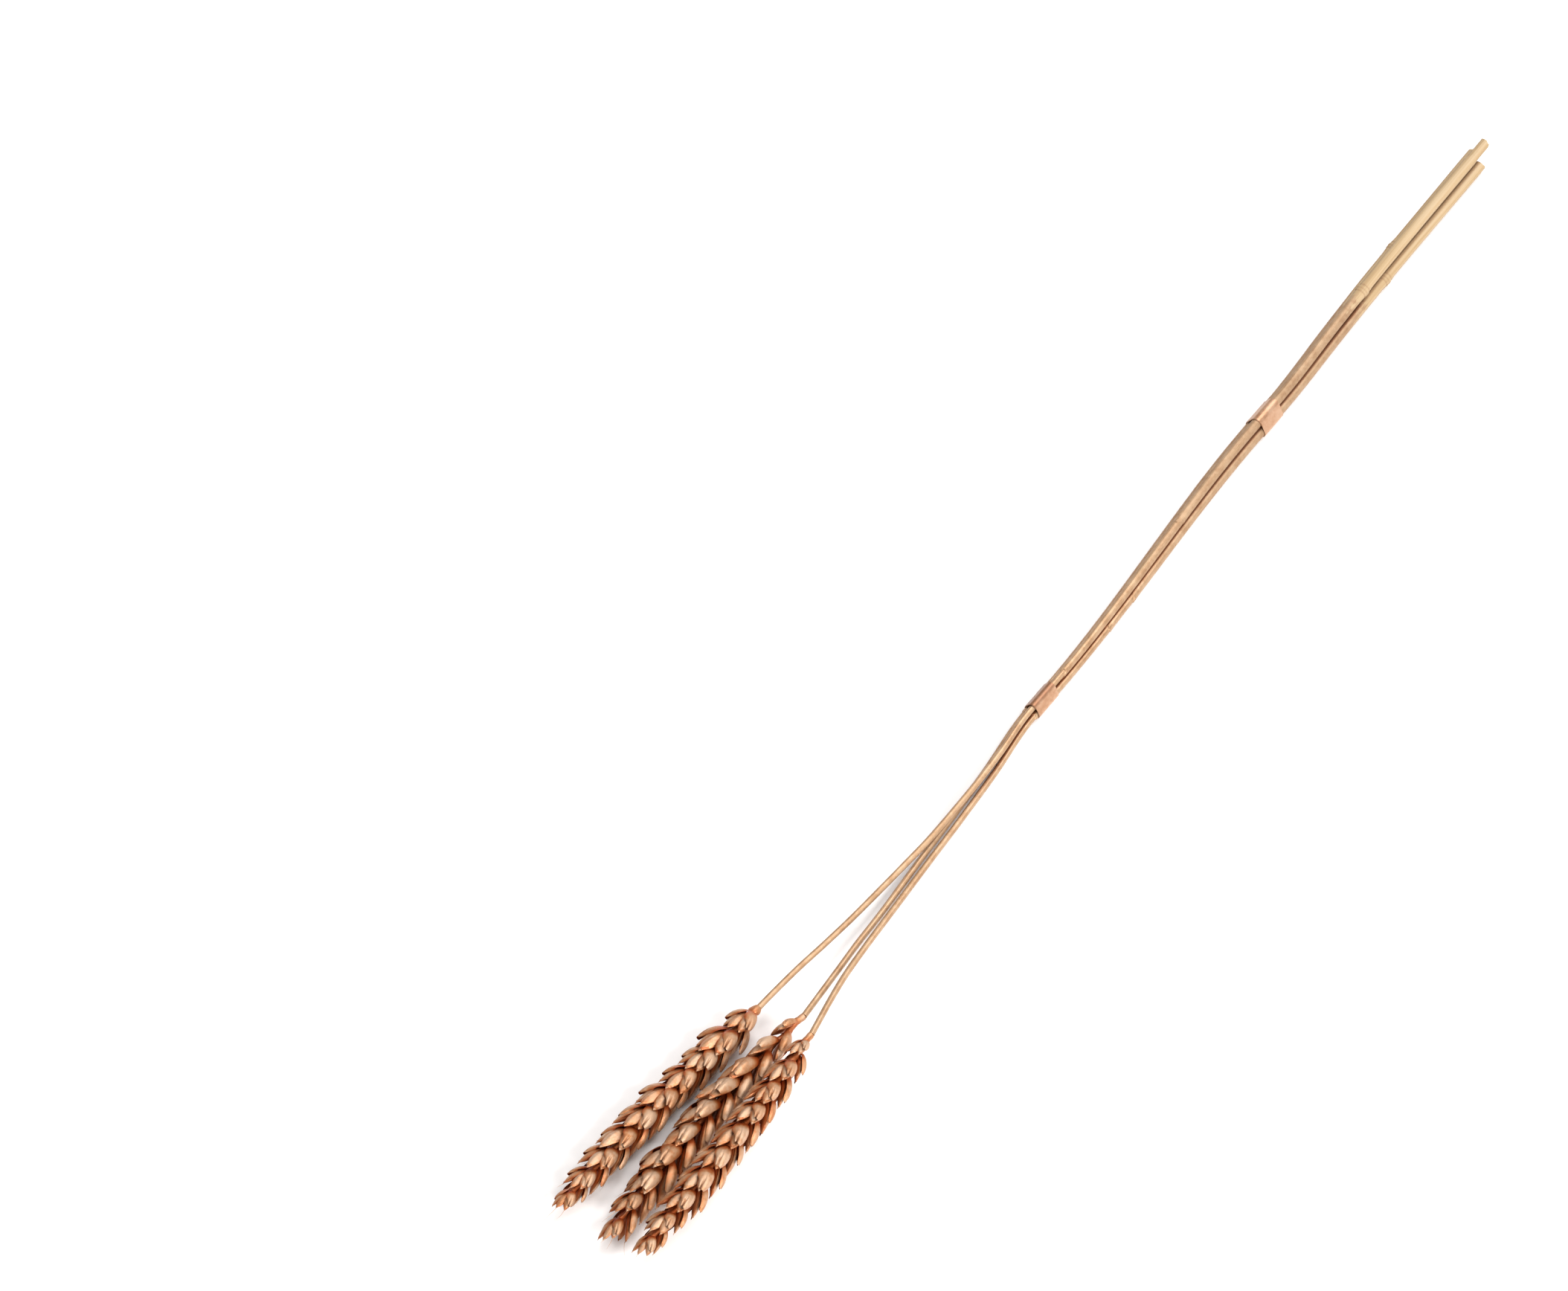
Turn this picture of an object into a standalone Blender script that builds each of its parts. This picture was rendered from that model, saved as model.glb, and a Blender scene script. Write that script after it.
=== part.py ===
"""A pick of three dried wheat ears on their cut straws, sprayed in copper and bound by two bands of tape.

It lies on its side, as on a table. +X runs along the straws from the ears to the cut ends, and +Z is up.
The origin is the middle of the lower band's flat underside. Every length is in metres, written as
millimetres times MM.
"""

import math
import random

import bmesh
import bpy
from mathutils import Vector

MM = 0.001

# Gap kept wherever two pieces touch.
GAP = 0.3 * MM

# Tape bands: 12 mm florist's tape, wound to this thickness round the three straws.
TAPE_WIDTH = 12.2 * MM
TAPE_THICK = 0.65 * MM
CORNER_POINTS = 6
LOWER_BAND_X = 0.0
UPPER_BAND_X = 153.0 * MM
UPPER_BAND_Y = 6.1 * MM

# The straws run straight this far either side of a band's middle.
BAND_REACH = 7.5 * MM

# Straw radius at the neck below the ear, at the top of the bare stretch, in the bands, and at the cut end.
NECK_RADIUS = 1.1 * MM
BARE_TOP_RADIUS = 1.19 * MM
LOWER_BAND_RADIUS = 1.4 * MM
UPPER_BAND_RADIUS = 1.95 * MM
FOOT_RADIUS = 2.2 * MM
BORE_RADIUS = 1.45 * MM
BORE_RINGS = 5

# The swollen knots of the straws, and the rounded edge where a leaf sheath wraps the straw.
KNOT_SWELL = 0.3 * MM
KNOT_LENGTH = 5.0 * MM
KNOT_RINGS = (-0.9, -0.4, 0.0, 0.4, 0.9)
SHEATH_EDGE = 0.5 * MM
STRAW_SIDES = 8
RING_SPACING = 21.0 * MM
RING_CLEAR = 3.0 * MM

# Wheat ear: rachis, and the two rows of spikelets that stand on its steps in turn.
EAR_NODES = 18
EAR_FIRST_NODE = 3.6 * MM
TIP_HUSK = 8.4 * MM
RACHIS_RADIUS = 1.3 * MM
RACHIS_TAPER = 0.3
RACHIS_ZIGZAG = 0.5 * MM
RACHIS_SIDES = 6
COLLAR_RADIUS = 1.5 * MM

# Husks of one full-grown spikelet. Each station of a husk gives its place as a share of the length, its width
# and depth as shares of their largest, and how far its middle bows out, as a share of the depth.
GLUME_LENGTH = 10.4 * MM
GLUME_WIDTH = 5.4 * MM
LEMMA_LENGTH = 12.6 * MM
LEMMA_WIDTH = 4.8 * MM
HUSK_DEPTH = 2.9 * MM
GLUME_STATIONS = ((0.24, 0.80, 0.70, 0.15), (0.56, 1.00, 1.00, 0.25), (0.84, 0.66, 0.70, 0.25))
LEMMA_STATIONS = ((0.46, 1.00, 1.00, 0.20), (0.78, 0.66, 0.70, 0.20))

# Five corners of a husk's section, in shares of its width and depth: the keel, two shoulders, two edges.
HUSK_SECTION = ((0.0, 0.62), (0.36, 0.30), (0.50, -0.12), (-0.50, -0.12), (-0.36, 0.30))

# Husks of a spikelet in the order they grow: the turn to the side in degrees, how far up the spikelet and how
# far to its side the root lies in millimetres, how squarely the back faces outward, and which husk it is.
SPIKELET = ((25.0, -0.7, 0.8, 0.8, "glume"), (-25.0, -0.7, -0.8, 0.8, "glume"),
            (12.0, 0.2, 0.5, 1.4, "lemma"), (-12.0, 0.6, -0.5, 1.4, "lemma"), (0.0, 1.2, 0.0, 9.0, "lemma"))
BASAL_SPIKELET = (SPIKELET[0], SPIKELET[1], SPIKELET[4])
SPIKELET_LEAN = 23.0
SPIKELET_RAISE = 0.35 * MM

# How far growth strays from the rule: of the size, and in degrees of the lean and of each husk's turn.
SIZE_STRAY = 0.05
LEAN_STRAY = 3.0
TURN_STRAY = 2.5

COPPER_EAR = (0.64, 0.32, 0.16, 1.0)
COPPER_STRAW = (0.74, 0.46, 0.25, 1.0)
COPPER_TAPE = (0.71, 0.42, 0.27, 1.0)


def clear_scene():
    for thing in list(bpy.data.objects):
        bpy.data.objects.remove(thing, do_unlink=True)


def satin(name, colour, roughness, metallic):
    """A Principled finish: copper spray lies over everything but the foot of the straws."""
    material = bpy.data.materials.new(name)
    material.use_nodes = True
    shader = material.node_tree.nodes["Principled BSDF"]
    shader.inputs["Base Color"].default_value = colour
    shader.inputs["Roughness"].default_value = roughness
    shader.inputs["Metallic"].default_value = metallic
    return material


def new_piece(name, verts, faces, material):
    """One closed mesh as an object, with its faces turned outward and its round sides smooth."""
    mesh = bpy.data.meshes.new(name)
    mesh.from_pydata([tuple(v) for v in verts], [], faces)
    shape = bmesh.new()
    shape.from_mesh(mesh)
    bmesh.ops.recalc_face_normals(shape, faces=shape.faces)
    shape.to_mesh(mesh)
    shape.free()
    mesh.shade_smooth()
    mesh.set_sharp_from_angle(angle=math.radians(50.0))
    if material:
        mesh.materials.append(material)
    piece = bpy.data.objects.new(name, mesh)
    bpy.context.scene.collection.objects.link(piece)
    return piece


# Routes that run along +X through a few points

def route_slope(points, k, axis):
    """Slope of y or z against x at point k: between those on its two sides, and level where they turn."""
    steps = []
    for a, b in ((k - 1, k), (k, k + 1)):
        if 0 <= a and b < len(points):
            steps.append((points[b][axis] - points[a][axis]) / (points[b].x - points[a].x))
    if len(steps) == 1:
        return steps[0]
    if steps[0] * steps[1] <= 0:
        return 0.0
    return 2 * steps[0] * steps[1] / (steps[0] + steps[1])


def route_at(points, x):
    """The point of a route at x, on one smooth curve that never swings past the points it runs through."""
    k = 0
    while k < len(points) - 2 and x > points[k + 1].x:
        k += 1
    a, b = points[k], points[k + 1]
    span = b.x - a.x
    u = (x - a.x) / span
    place = Vector((x, 0, 0))
    for axis in (1, 2):
        start = route_slope(points, k, axis) * span
        end = route_slope(points, k + 1, axis) * span
        rise = b[axis] - a[axis]
        place[axis] = a[axis] + u * (start + u * (3 * rise - 2 * start - end + u * (start + end - 2 * rise)))
    return place


def route_heading(points, x):
    reach = 2 * MM
    ahead = route_at(points, min(x + reach, points[-1].x))
    behind = route_at(points, max(x - reach, points[0].x))
    return (ahead - behind).normalized()


def ring(centre, heading, radius, sides):
    """A ring of points square to the heading, with a flat below and above."""
    side = Vector((0, 0, 1)).cross(heading).normalized()
    up = heading.cross(side)
    points = []
    for i in range(sides):
        angle = 2 * math.pi * (i + 0.5) / sides
        points.append(centre + (side * math.cos(angle) + up * math.sin(angle)) * radius)
    return points


def skin(rings):
    """Faces of a tube through rings of equal count, closed at both ends."""
    sides = len(rings[0])
    verts = [v for r in rings for v in r]
    faces = []
    for j in range(len(rings) - 1):
        for i in range(sides):
            a = j * sides + i
            b = j * sides + (i + 1) % sides
            faces.append((a, b, b + sides, a + sides))
    faces.append(tuple(range(sides)))
    last = (len(rings) - 1) * sides
    faces.append(tuple(last + i for i in range(sides)))
    return verts, faces


# Straws

def band_layout(x):
    """Half the distance between the two lower straws, and the heights of the lower and upper straws."""
    share = x / UPPER_BAND_X
    radius = LOWER_BAND_RADIUS + (UPPER_BAND_RADIUS - LOWER_BAND_RADIUS) * share
    half = radius + GAP / 2
    low = radius + GAP + TAPE_THICK
    return half, low, low + half * math.sqrt(3.0)


def straw_radius(straw, x):
    """Radius of a straw at x: slim and bare below the ear, thicker inside its leaf sheath, swollen at its knot."""
    neck_x, foot_x = straw["route"][0].x, straw["route"][-1].x
    if x < straw["sheath_end"]:
        share = (x - neck_x) / (straw["sheath_end"] - neck_x)
        return NECK_RADIUS + (BARE_TOP_RADIUS - NECK_RADIUS) * share
    if x < UPPER_BAND_X:
        share = max(0.0, x) / UPPER_BAND_X
        return LOWER_BAND_RADIUS + (UPPER_BAND_RADIUS - LOWER_BAND_RADIUS) * share
    share = (x - UPPER_BAND_X) / (foot_x - UPPER_BAND_X)
    swell = KNOT_SWELL * math.exp(-(((x - straw["knot"]) / (KNOT_LENGTH / 2)) ** 2))
    return UPPER_BAND_RADIUS + (FOOT_RADIUS - UPPER_BAND_RADIUS) * share + swell


def ring_places(straw):
    """Where the rings of a straw lie: evenly spaced, with closer ones at the sheath's edge and the knot."""
    neck_x, foot_x = straw["route"][0].x, straw["route"][-1].x
    count = math.ceil((foot_x - neck_x) / RING_SPACING)
    even = [neck_x + (foot_x - neck_x) * i / count for i in range(count + 1)]
    close = [straw["sheath_end"] - SHEATH_EDGE, straw["sheath_end"] + SHEATH_EDGE]
    close += [straw["knot"] + KNOT_LENGTH * k for k in KNOT_RINGS]
    return sorted([x for x in even if all(abs(x - c) > RING_CLEAR for c in close)] + close)


def make_straw(name, straw, material):
    """A culm along its route, hollow from the cut end to its first knot."""
    route = straw["route"]
    rings = []
    for x in ring_places(straw):
        rings.append(ring(route_at(route, x), route_heading(route, x), straw_radius(straw, x), STRAW_SIDES))
    foot_x = route[-1].x
    bore_end = straw["knot"] + KNOT_LENGTH
    for j in range(BORE_RINGS):
        x = foot_x + (bore_end - foot_x) * j / (BORE_RINGS - 1)
        rings.append(ring(route_at(route, x), route_heading(route, x), BORE_RADIUS, STRAW_SIDES))
    return new_piece(name, *skin(rings), material)


# Tape bands

def wrap_outline(x, reach):
    """Rounded triangle drawn round the three straws at x, this far beyond their skins, as (y, z) points."""
    half, low, high = band_layout(x)
    radius = half - GAP / 2 + reach
    corners = ((half, low, -90.0), (0.0, high, 30.0), (-half, low, 150.0))
    outline = []
    for y, z, start in corners:
        for k in range(CORNER_POINTS):
            angle = math.radians(start + 120.0 * k / (CORNER_POINTS - 1))
            outline.append((y + radius * math.cos(angle), z + radius * math.sin(angle)))
    return outline


def make_band(name, x, y, material):
    """A few turns of tape as one sleeve: it bridges the hollows between the straws it binds."""
    inner = wrap_outline(x, GAP)
    outer = wrap_outline(x, GAP + TAPE_THICK)
    count = len(inner)
    verts = []
    for outline, end in ((outer, -0.5), (outer, 0.5), (inner, 0.5), (inner, -0.5)):
        verts += [Vector((x + TAPE_WIDTH * end, y + p, z)) for p, z in outline]
    faces = []
    for loop in range(4):
        for i in range(count):
            j = (i + 1) % count
            a, b = loop * count, (loop + 1) % 4 * count
            faces.append((a + i, a + j, b + j, b + i))
    return new_piece(name, verts, faces, material)


# Ears

def husk(root, along, outward, length, width, stations, size):
    """One glume or lemma as a keeled boat: its back faces outward and its tip is drawn to a point."""
    across = along.cross(outward).normalized()
    outward = across.cross(along).normalized()
    length, width, depth = length * size, width * size, HUSK_DEPTH * size
    verts = [root]
    for share, wide, deep, bow in stations:
        middle = root + along * (length * share) + outward * (depth * bow)
        for u, v in HUSK_SECTION:
            verts.append(middle + across * (width * wide * u) + outward * (depth * deep * v))
    verts.append(root + along * length + outward * (depth * 0.1))
    corners = len(HUSK_SECTION)
    faces = [(0, 1 + i, 1 + (i + 1) % corners) for i in range(corners)]
    for j in range(len(stations) - 1):
        for i in range(corners):
            a = 1 + j * corners + i
            b = 1 + j * corners + (i + 1) % corners
            faces.append((a, b, b + corners, a + corners))
    base = 1 + (len(stations) - 1) * corners
    faces += [(base + i, base + (i + 1) % corners, len(verts) - 1) for i in range(corners)]
    return verts, faces


def ear_length(ear):
    return (ear["middle"] - ear["base"]).length + (ear["tip"] - ear["middle"]).length


def ear_place(ear, distance):
    """The point of the ear's bent middle line at a distance from its base, its heading, and the way the
    first row of spikelets faces."""
    base, middle, tip = ear["base"], ear["middle"], ear["tip"]
    share = distance / ear_length(ear)
    knee = (middle * 4 - base - tip) / 2
    point = base * (1 - share) ** 2 + knee * (2 * share * (1 - share)) + tip * share ** 2
    along = ((knee - base) * (1 - share) + (tip - knee) * share).normalized()
    level = along.cross(Vector((0, 0, 1))).normalized()
    up = level.cross(along).normalized()
    roll = math.radians(ear["roll"])
    return point, along, up * math.cos(roll) + level * math.sin(roll)


def spikelet_size(i, basal):
    """How large spikelet i is: small at the ear's base, full-grown in its middle, slimmer at its tip."""
    share = i / EAR_NODES
    return min(1.0, basal + 3.0 * share, 0.62 + 1.5 * (1.0 - share))


def make_ear(name, ear, material):
    """Rachis and two rows of spikelets, with every husk fused to them in one body."""
    draw = random.Random(ear["seed"])
    step = (ear_length(ear) - EAR_FIRST_NODE - TIP_HUSK) / EAR_NODES
    rachis = []
    for i in range(EAR_NODES + 2):
        distance = 0.0 if i == 0 else EAR_FIRST_NODE + step * (i - 1)
        point, along, row = ear_place(ear, distance)
        sway = 0.0 if i == 0 else RACHIS_ZIGZAG * (1 if i % 2 else -1)
        radius = COLLAR_RADIUS if i == 0 else RACHIS_RADIUS * (1.0 - RACHIS_TAPER * i / EAR_NODES)
        rachis.append(ring(point + row * sway, along, radius, RACHIS_SIDES))
    bodies = [skin(rachis)]

    for i in range(EAR_NODES + 1):
        point, along, row = ear_place(ear, EAR_FIRST_NODE + step * i)
        face = row if i % 2 == 0 else -row
        side = along.cross(face).normalized()
        size = spikelet_size(i, ear["basal"]) * (1.0 + SIZE_STRAY * draw.uniform(-1, 1))
        lean = math.radians(SPIKELET_LEAN + LEAN_STRAY * draw.uniform(-1, 1))
        if i == EAR_NODES:
            lean = 0.0
        stem = along * math.cos(lean) + face * math.sin(lean)
        out = face * math.cos(lean) - along * math.sin(lean)
        root = point + face * SPIKELET_RAISE
        for spread, rise, aside, front, kind in BASAL_SPIKELET if i < 2 else SPIKELET:
            turn = math.radians(spread + TURN_STRAY * draw.uniform(-1, 1))
            heading = stem * math.cos(turn) + side * math.sin(turn)
            back = out * front + side * math.copysign(min(1.0, abs(spread)), spread)
            start = root + (stem * rise + side * aside) * (MM * size)
            if kind == "glume":
                bodies.append(husk(start, heading, back, GLUME_LENGTH, GLUME_WIDTH, GLUME_STATIONS, size))
            else:
                bodies.append(husk(start, heading, back, LEMMA_LENGTH, LEMMA_WIDTH, LEMMA_STATIONS, size))
    return fuse(name, bodies, material)


def keep_largest(mesh):
    """Drops what a union leaves beside the main body: loose scraps, and the skins of sealed hollows."""
    shape = bmesh.new()
    shape.from_mesh(mesh)
    left = set(shape.faces)
    bodies = []
    while left:
        reach = [left.pop()]
        body = []
        while reach:
            face = reach.pop()
            body.append(face)
            for edge in face.edges:
                for other in edge.link_faces:
                    if other in left:
                        left.remove(other)
                        reach.append(other)
        bodies.append(body)
    bodies.sort(key=len)
    for body in bodies[:-1]:
        bmesh.ops.delete(shape, geom=body, context="FACES")
    shape.to_mesh(mesh)
    shape.free()
    return mesh


def fuse(name, bodies, material):
    """One body from many: the first takes the union of all the others, which are then removed."""
    first = new_piece(name, *bodies[0], material)
    others = bpy.data.collections.new(name + "_husks")
    for k, (verts, faces) in enumerate(bodies[1:]):
        piece = new_piece(f"{name}_husk_{k}", verts, faces, None)
        bpy.context.scene.collection.objects.unlink(piece)
        others.objects.link(piece)
    union = first.modifiers.new("union", "BOOLEAN")
    union.operation = "UNION"
    union.operand_type = "COLLECTION"
    union.collection = others
    bpy.context.scene.collection.children.link(others)
    bpy.context.view_layer.update()
    fused = bpy.data.meshes.new_from_object(first.evaluated_get(bpy.context.evaluated_depsgraph_get()))
    first.modifiers.clear()
    first.data = keep_largest(fused)
    for piece in list(others.objects):
        bpy.data.objects.remove(piece, do_unlink=True)
    bpy.data.collections.remove(others)
    return first


def at(x, y, z):
    return Vector((x * MM, y * MM, z * MM))


def straw_route(fan, lower, upper, foot):
    """A straw's route: fanned out by the ears, then straight through both bands to the cut end."""
    through = []
    for band_x, (y, z) in ((LOWER_BAND_X, lower), (UPPER_BAND_X, upper)):
        for offset in (-BAND_REACH, BAND_REACH):
            through.append(Vector((band_x + offset, y, z)))
    return [at(*p) for p in fan] + through + [at(*p) for p in foot]


clear_scene()
ear_copper = satin("ear_copper", COPPER_EAR, 0.38, 0.85)
straw_copper = satin("straw_copper", COPPER_STRAW, 0.45, 0.6)
tape_copper = satin("tape_copper", COPPER_TAPE, 0.55, 0.35)

# Ears. The left and middle ones lie on the table; the right one lies on the middle one's shoulder.
EARS = {
    "left": {"base": at(-165.0, 3.3, 7.1), "middle": at(-216, 8.0, 7.2), "tip": at(-267.6, 11.0, 6.3),
             "roll": 22.0, "basal": 0.74, "seed": 3},
    "middle": {"base": at(-158.5, -11.3, 7.5), "middle": at(-212, -8.6, 7.6), "tip": at(-266.5, -9.7, 6.7),
               "roll": 62.0, "basal": 0.48, "seed": 5},
    "right": {"base": at(-165.0, -19.3, 12.2), "middle": at(-215, -22.5, 12.6), "tip": at(-267.0, -22.9, 11.0),
              "roll": 28.0, "basal": 0.55, "seed": 8},
}
for side_name, ear_data in EARS.items():
    make_ear("ear_" + side_name, ear_data, ear_copper)

# Straws. The left one lies over the other two where they cross, and on top of them in the bands.
half_low, bottom_low, top_low = band_layout(LOWER_BAND_X)
half_up, bottom_up, top_up = band_layout(UPPER_BAND_X)
STRAWS = {
    "left": {"sheath_end": 12.7 * MM, "knot": 222.6 * MM, "route": straw_route(
        [(-164.5, 3.3, 7.1), (-158, 3.0, 6.9), (-145, 2.2, 6.4), (-130, 0.6, 6.1), (-116, -0.7, 5.9),
         (-102, -1.6, 5.75), (-88, -2.4, 5.65), (-70, -3.2, 5.55), (-50, -3.0, 5.45), (-30, -2.0, 5.2)],
        (0.0, top_low), (UPPER_BAND_Y, top_up),
        [(206, 8.0, 7.2), (236, 9.0, 7.6), (275, 9.7, 7.8), (313, 10.3, 7.8)])},
    "middle": {"sheath_end": -8.6 * MM, "knot": 250.0 * MM, "route": straw_route(
        [(-158.0, -11.3, 7.5), (-150, -10.5, 6.7), (-134, -8.8, 4.8), (-121, -7.5, 3.6), (-108, -6.7, 2.8),
         (-95, -5.7, 2.45), (-80, -4.5, 2.35), (-60, -3.2, 2.35), (-36, -1.2, 2.35)],
        (half_low, bottom_low), (UPPER_BAND_Y + half_up, bottom_up),
        [(206, 10.3, 3.15), (236, 11.5, 3.2), (275, 12.2, 3.2), (309, 12.8, 3.2)])},
    "right": {"sheath_end": -7.8 * MM, "knot": 235.5 * MM, "route": straw_route(
        [(-164.5, -19.3, 12.2), (-158, -17.8, 11.3), (-148, -15.5, 9.8), (-136, -13.1, 7.8), (-123, -11.4, 6.0),
         (-109, -10.0, 4.5), (-96, -8.8, 3.4), (-80, -7.5, 2.6), (-60, -6.2, 2.35), (-36, -4.4, 2.35)],
        (-half_low, bottom_low), (UPPER_BAND_Y - half_up, bottom_up),
        [(206, 5.6, 3.15), (236, 6.5, 3.2), (275, 7.1, 3.2), (306, 7.5, 3.2)])},
}
for side_name, straw_data in STRAWS.items():
    make_straw("straw_" + side_name, straw_data, straw_copper)

make_band("tape_band_lower", LOWER_BAND_X, 0.0, tape_copper)
make_band("tape_band_upper", UPPER_BAND_X, UPPER_BAND_Y, tape_copper)
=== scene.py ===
"""Looks of a pick of three dried wheat ears, sprayed in copper and bound by two bands of tape.

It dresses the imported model, in the same frame: +X runs along the straws to their cut ends, +Z is up, and the
table is at Z = 0. Every length is in metres, written as millimetres times MM.
"""

import math
import random

import bpy
import numpy as np
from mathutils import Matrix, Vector


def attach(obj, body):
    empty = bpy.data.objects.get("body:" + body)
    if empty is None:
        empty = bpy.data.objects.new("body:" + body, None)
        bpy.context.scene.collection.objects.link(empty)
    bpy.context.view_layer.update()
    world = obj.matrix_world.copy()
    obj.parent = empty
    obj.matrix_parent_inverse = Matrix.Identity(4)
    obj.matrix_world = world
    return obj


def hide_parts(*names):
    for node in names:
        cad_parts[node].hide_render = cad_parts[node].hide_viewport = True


MM = 0.001

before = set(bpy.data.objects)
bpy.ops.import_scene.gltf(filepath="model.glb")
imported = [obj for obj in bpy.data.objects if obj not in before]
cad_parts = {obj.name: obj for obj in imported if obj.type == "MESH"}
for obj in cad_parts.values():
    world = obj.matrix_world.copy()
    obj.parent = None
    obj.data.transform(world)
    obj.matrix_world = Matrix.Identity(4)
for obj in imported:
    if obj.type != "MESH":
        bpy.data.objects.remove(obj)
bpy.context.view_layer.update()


# Table, light and camera
# A white table top under soft studio light: a wide one high above the picture's far side, and a smaller one
# at its lower right, which draws the bright line along the straws. The camera looks down at the
# photograph's angle.

CAMERA_AZIMUTH = -53.07
CAMERA_ELEVATION = 56.0
CAMERA_DISTANCE = 1783.8 * MM
CAMERA_SENSOR = 36.0
CAMERA_CLIP = 10 * MM
PHOTO_WIDTH_PX = 2108
LENS_PX = 6600
LOOK_AT = Vector((-35.2 * MM, 89.6 * MM, 0.0))
SKY_COLOUR = (1.0, 0.985, 0.975, 1.0)
SKY_STRENGTH = 0.55
TABLE_REACH = 3.0
TABLE_DROP = 0.02 * MM
TABLE_COLOUR = (0.93, 0.92, 0.92, 1.0)
TABLE_ROUGHNESS = 0.7
TABLE_SPECULAR = 0.2


def turned(azimuth, elevation):
    """Direction from the object towards a place at this azimuth and height above the table, in degrees."""
    a, e = math.radians(azimuth), math.radians(elevation)
    return Vector((math.sin(a) * math.cos(e), -math.cos(a) * math.cos(e), math.sin(e)))


def soft_light(name, azimuth, elevation, distance, size, power, colour):
    """A round soft light facing the object from this side, its size in metres and its power in watts."""
    lamp = bpy.data.lights.new(name, "AREA")
    lamp.shape = "DISK"
    lamp.size = size
    lamp.energy = power
    lamp.color = colour
    light = bpy.data.objects.new(name, lamp)
    light.location = turned(azimuth, elevation) * distance
    light.rotation_mode = "QUATERNION"
    light.rotation_quaternion = (-turned(azimuth, elevation)).to_track_quat("-Z", "Y")
    bpy.context.scene.collection.objects.link(light)


lens = bpy.data.cameras.new("camera")
lens.sensor_width = CAMERA_SENSOR
lens.lens = LENS_PX / PHOTO_WIDTH_PX * CAMERA_SENSOR
lens.clip_start = CAMERA_CLIP
camera = bpy.data.objects.new("camera", lens)
camera.location = LOOK_AT + turned(CAMERA_AZIMUTH, CAMERA_ELEVATION) * CAMERA_DISTANCE
camera.rotation_mode = "QUATERNION"
camera.rotation_quaternion = (-turned(CAMERA_AZIMUTH, CAMERA_ELEVATION)).to_track_quat("-Z", "Y")
bpy.context.scene.collection.objects.link(camera)
bpy.context.scene.camera = camera

soft_light("light_above", azimuth=91.0, elevation=61.0, distance=1.7, size=1.4, power=25.0,
           colour=(1.0, 0.99, 0.98))
soft_light("light_lower_right", azimuth=-12.0, elevation=40.0, distance=1.4, size=0.6, power=20.0,
           colour=(1.0, 0.98, 0.95))

sky = bpy.data.worlds.new("studio")
bpy.context.scene.world = sky
sky.use_nodes = True
sky.node_tree.nodes["Background"].inputs["Color"].default_value = SKY_COLOUR
sky.node_tree.nodes["Background"].inputs["Strength"].default_value = SKY_STRENGTH
bpy.context.scene.view_settings.view_transform = "Standard"

table_corners = []
for x, y in ((-1, -1), (1, -1), (1, 1), (-1, 1)):
    table_corners.append((x * TABLE_REACH, y * TABLE_REACH, -TABLE_DROP))
table_mesh = bpy.data.meshes.new("table_top")
table_mesh.from_pydata(table_corners, [], [(0, 1, 2, 3)])
table_top = bpy.data.objects.new("table_top", table_mesh)
bpy.context.scene.collection.objects.link(table_top)
table_paint = bpy.data.materials.new("white_table")
table_paint.use_nodes = True
table_shader = table_paint.node_tree.nodes["Principled BSDF"]
table_shader.inputs["Base Color"].default_value = TABLE_COLOUR
table_shader.inputs["Roughness"].default_value = TABLE_ROUGHNESS
table_shader.inputs["Specular IOR Level"].default_value = TABLE_SPECULAR
table_mesh.materials.append(table_paint)


# Straws
# The three culms of wheat, dried and cut: slim and bare below the ear, thicker where the leaf sheath wraps
# them, with a pale knot near the foot and a hollow cut end. Copper spray covers them and thins out towards
# the foot.

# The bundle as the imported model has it: the gap between two straws, the tape's thickness, where the upper
# band is, the lower one being at the origin, and how far the straws run straight on each side of a band.
STRAW_GAP = 0.3 * MM
TAPE_THICK = 0.65 * MM
UPPER_BAND_X = 153.0 * MM
UPPER_BAND_Y = 6.1 * MM
BAND_REACH = 7.5 * MM

# A straw's radius below the ear, at the end of its bare stretch, in each band and at the foot.
NECK_RADIUS = 1.1 * MM
BARE_TOP_RADIUS = 1.19 * MM
LOWER_BAND_RADIUS = 1.4 * MM
UPPER_BAND_RADIUS = 1.95 * MM
FOOT_RADIUS = 2.2 * MM
BORE_RADIUS = 1.5 * MM
BORE_STRAY = 0.03
CUT_ROUGHNESS = 0.3 * MM

# The knot, and the rings pressed into it: each one's place in half lengths of the knot, its depth in
# millimetres, how wide they are, how wide and deep their shade is, and how far off the ribs stay calm.
KNOT_LENGTH = 5.0 * MM
KNOT_SWELL = 0.50 * MM
KNOT_RINGS = ((-0.70, 0.22), (-0.15, 0.12), (0.62, 0.28))
KNOT_RING_WIDTH = 0.14
KNOT_SHADE_WIDTH = 0.12
KNOT_SHADE_DEPTH = 0.30
KNOT_CALM_REACH = 1.2

# The ragged edge of a sheath: how sharp its step is, the lip that stands up there, and the length over
# which the layer thins again.
STEP_WIDTH = 0.3 * MM
LIP_HEIGHT = 0.30 * MM
LIP_LENGTH = 1.4 * MM
LAYER_FADE = 60 * MM

# Two sets of ribs round a straw, and shallow dents along it.
MAIN_RIBS = 16
FINE_RIBS = 21
FINE_RIB_SHARE = 0.6
RIB_HEIGHT = 0.028 * MM
RIB_WAVE = 9 * MM
RIB_RISE = 40 * MM
DENT_LENGTH = 23 * MM
DENT_DEPTH = 0.03 * MM

# The mesh: the ordinary step between its rings, the closer ones at edges and at the knot, the stretch of
# the foot that the slanted cut takes, how much smaller a closing ring is, and the angle from which an edge
# stays sharp.
STRAW_SIDES = 64
RING_STEP = 2.4 * MM
EDGE_STEP = 0.2 * MM
EDGE_SPAN = 3.0 * MM
KNOT_STEP = 0.3 * MM
FOOT_TRIM = 3.0 * MM
BORE_RINGS = 6
CAP_SHARE = 0.04
SHARP_ANGLE = 62.0

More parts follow.
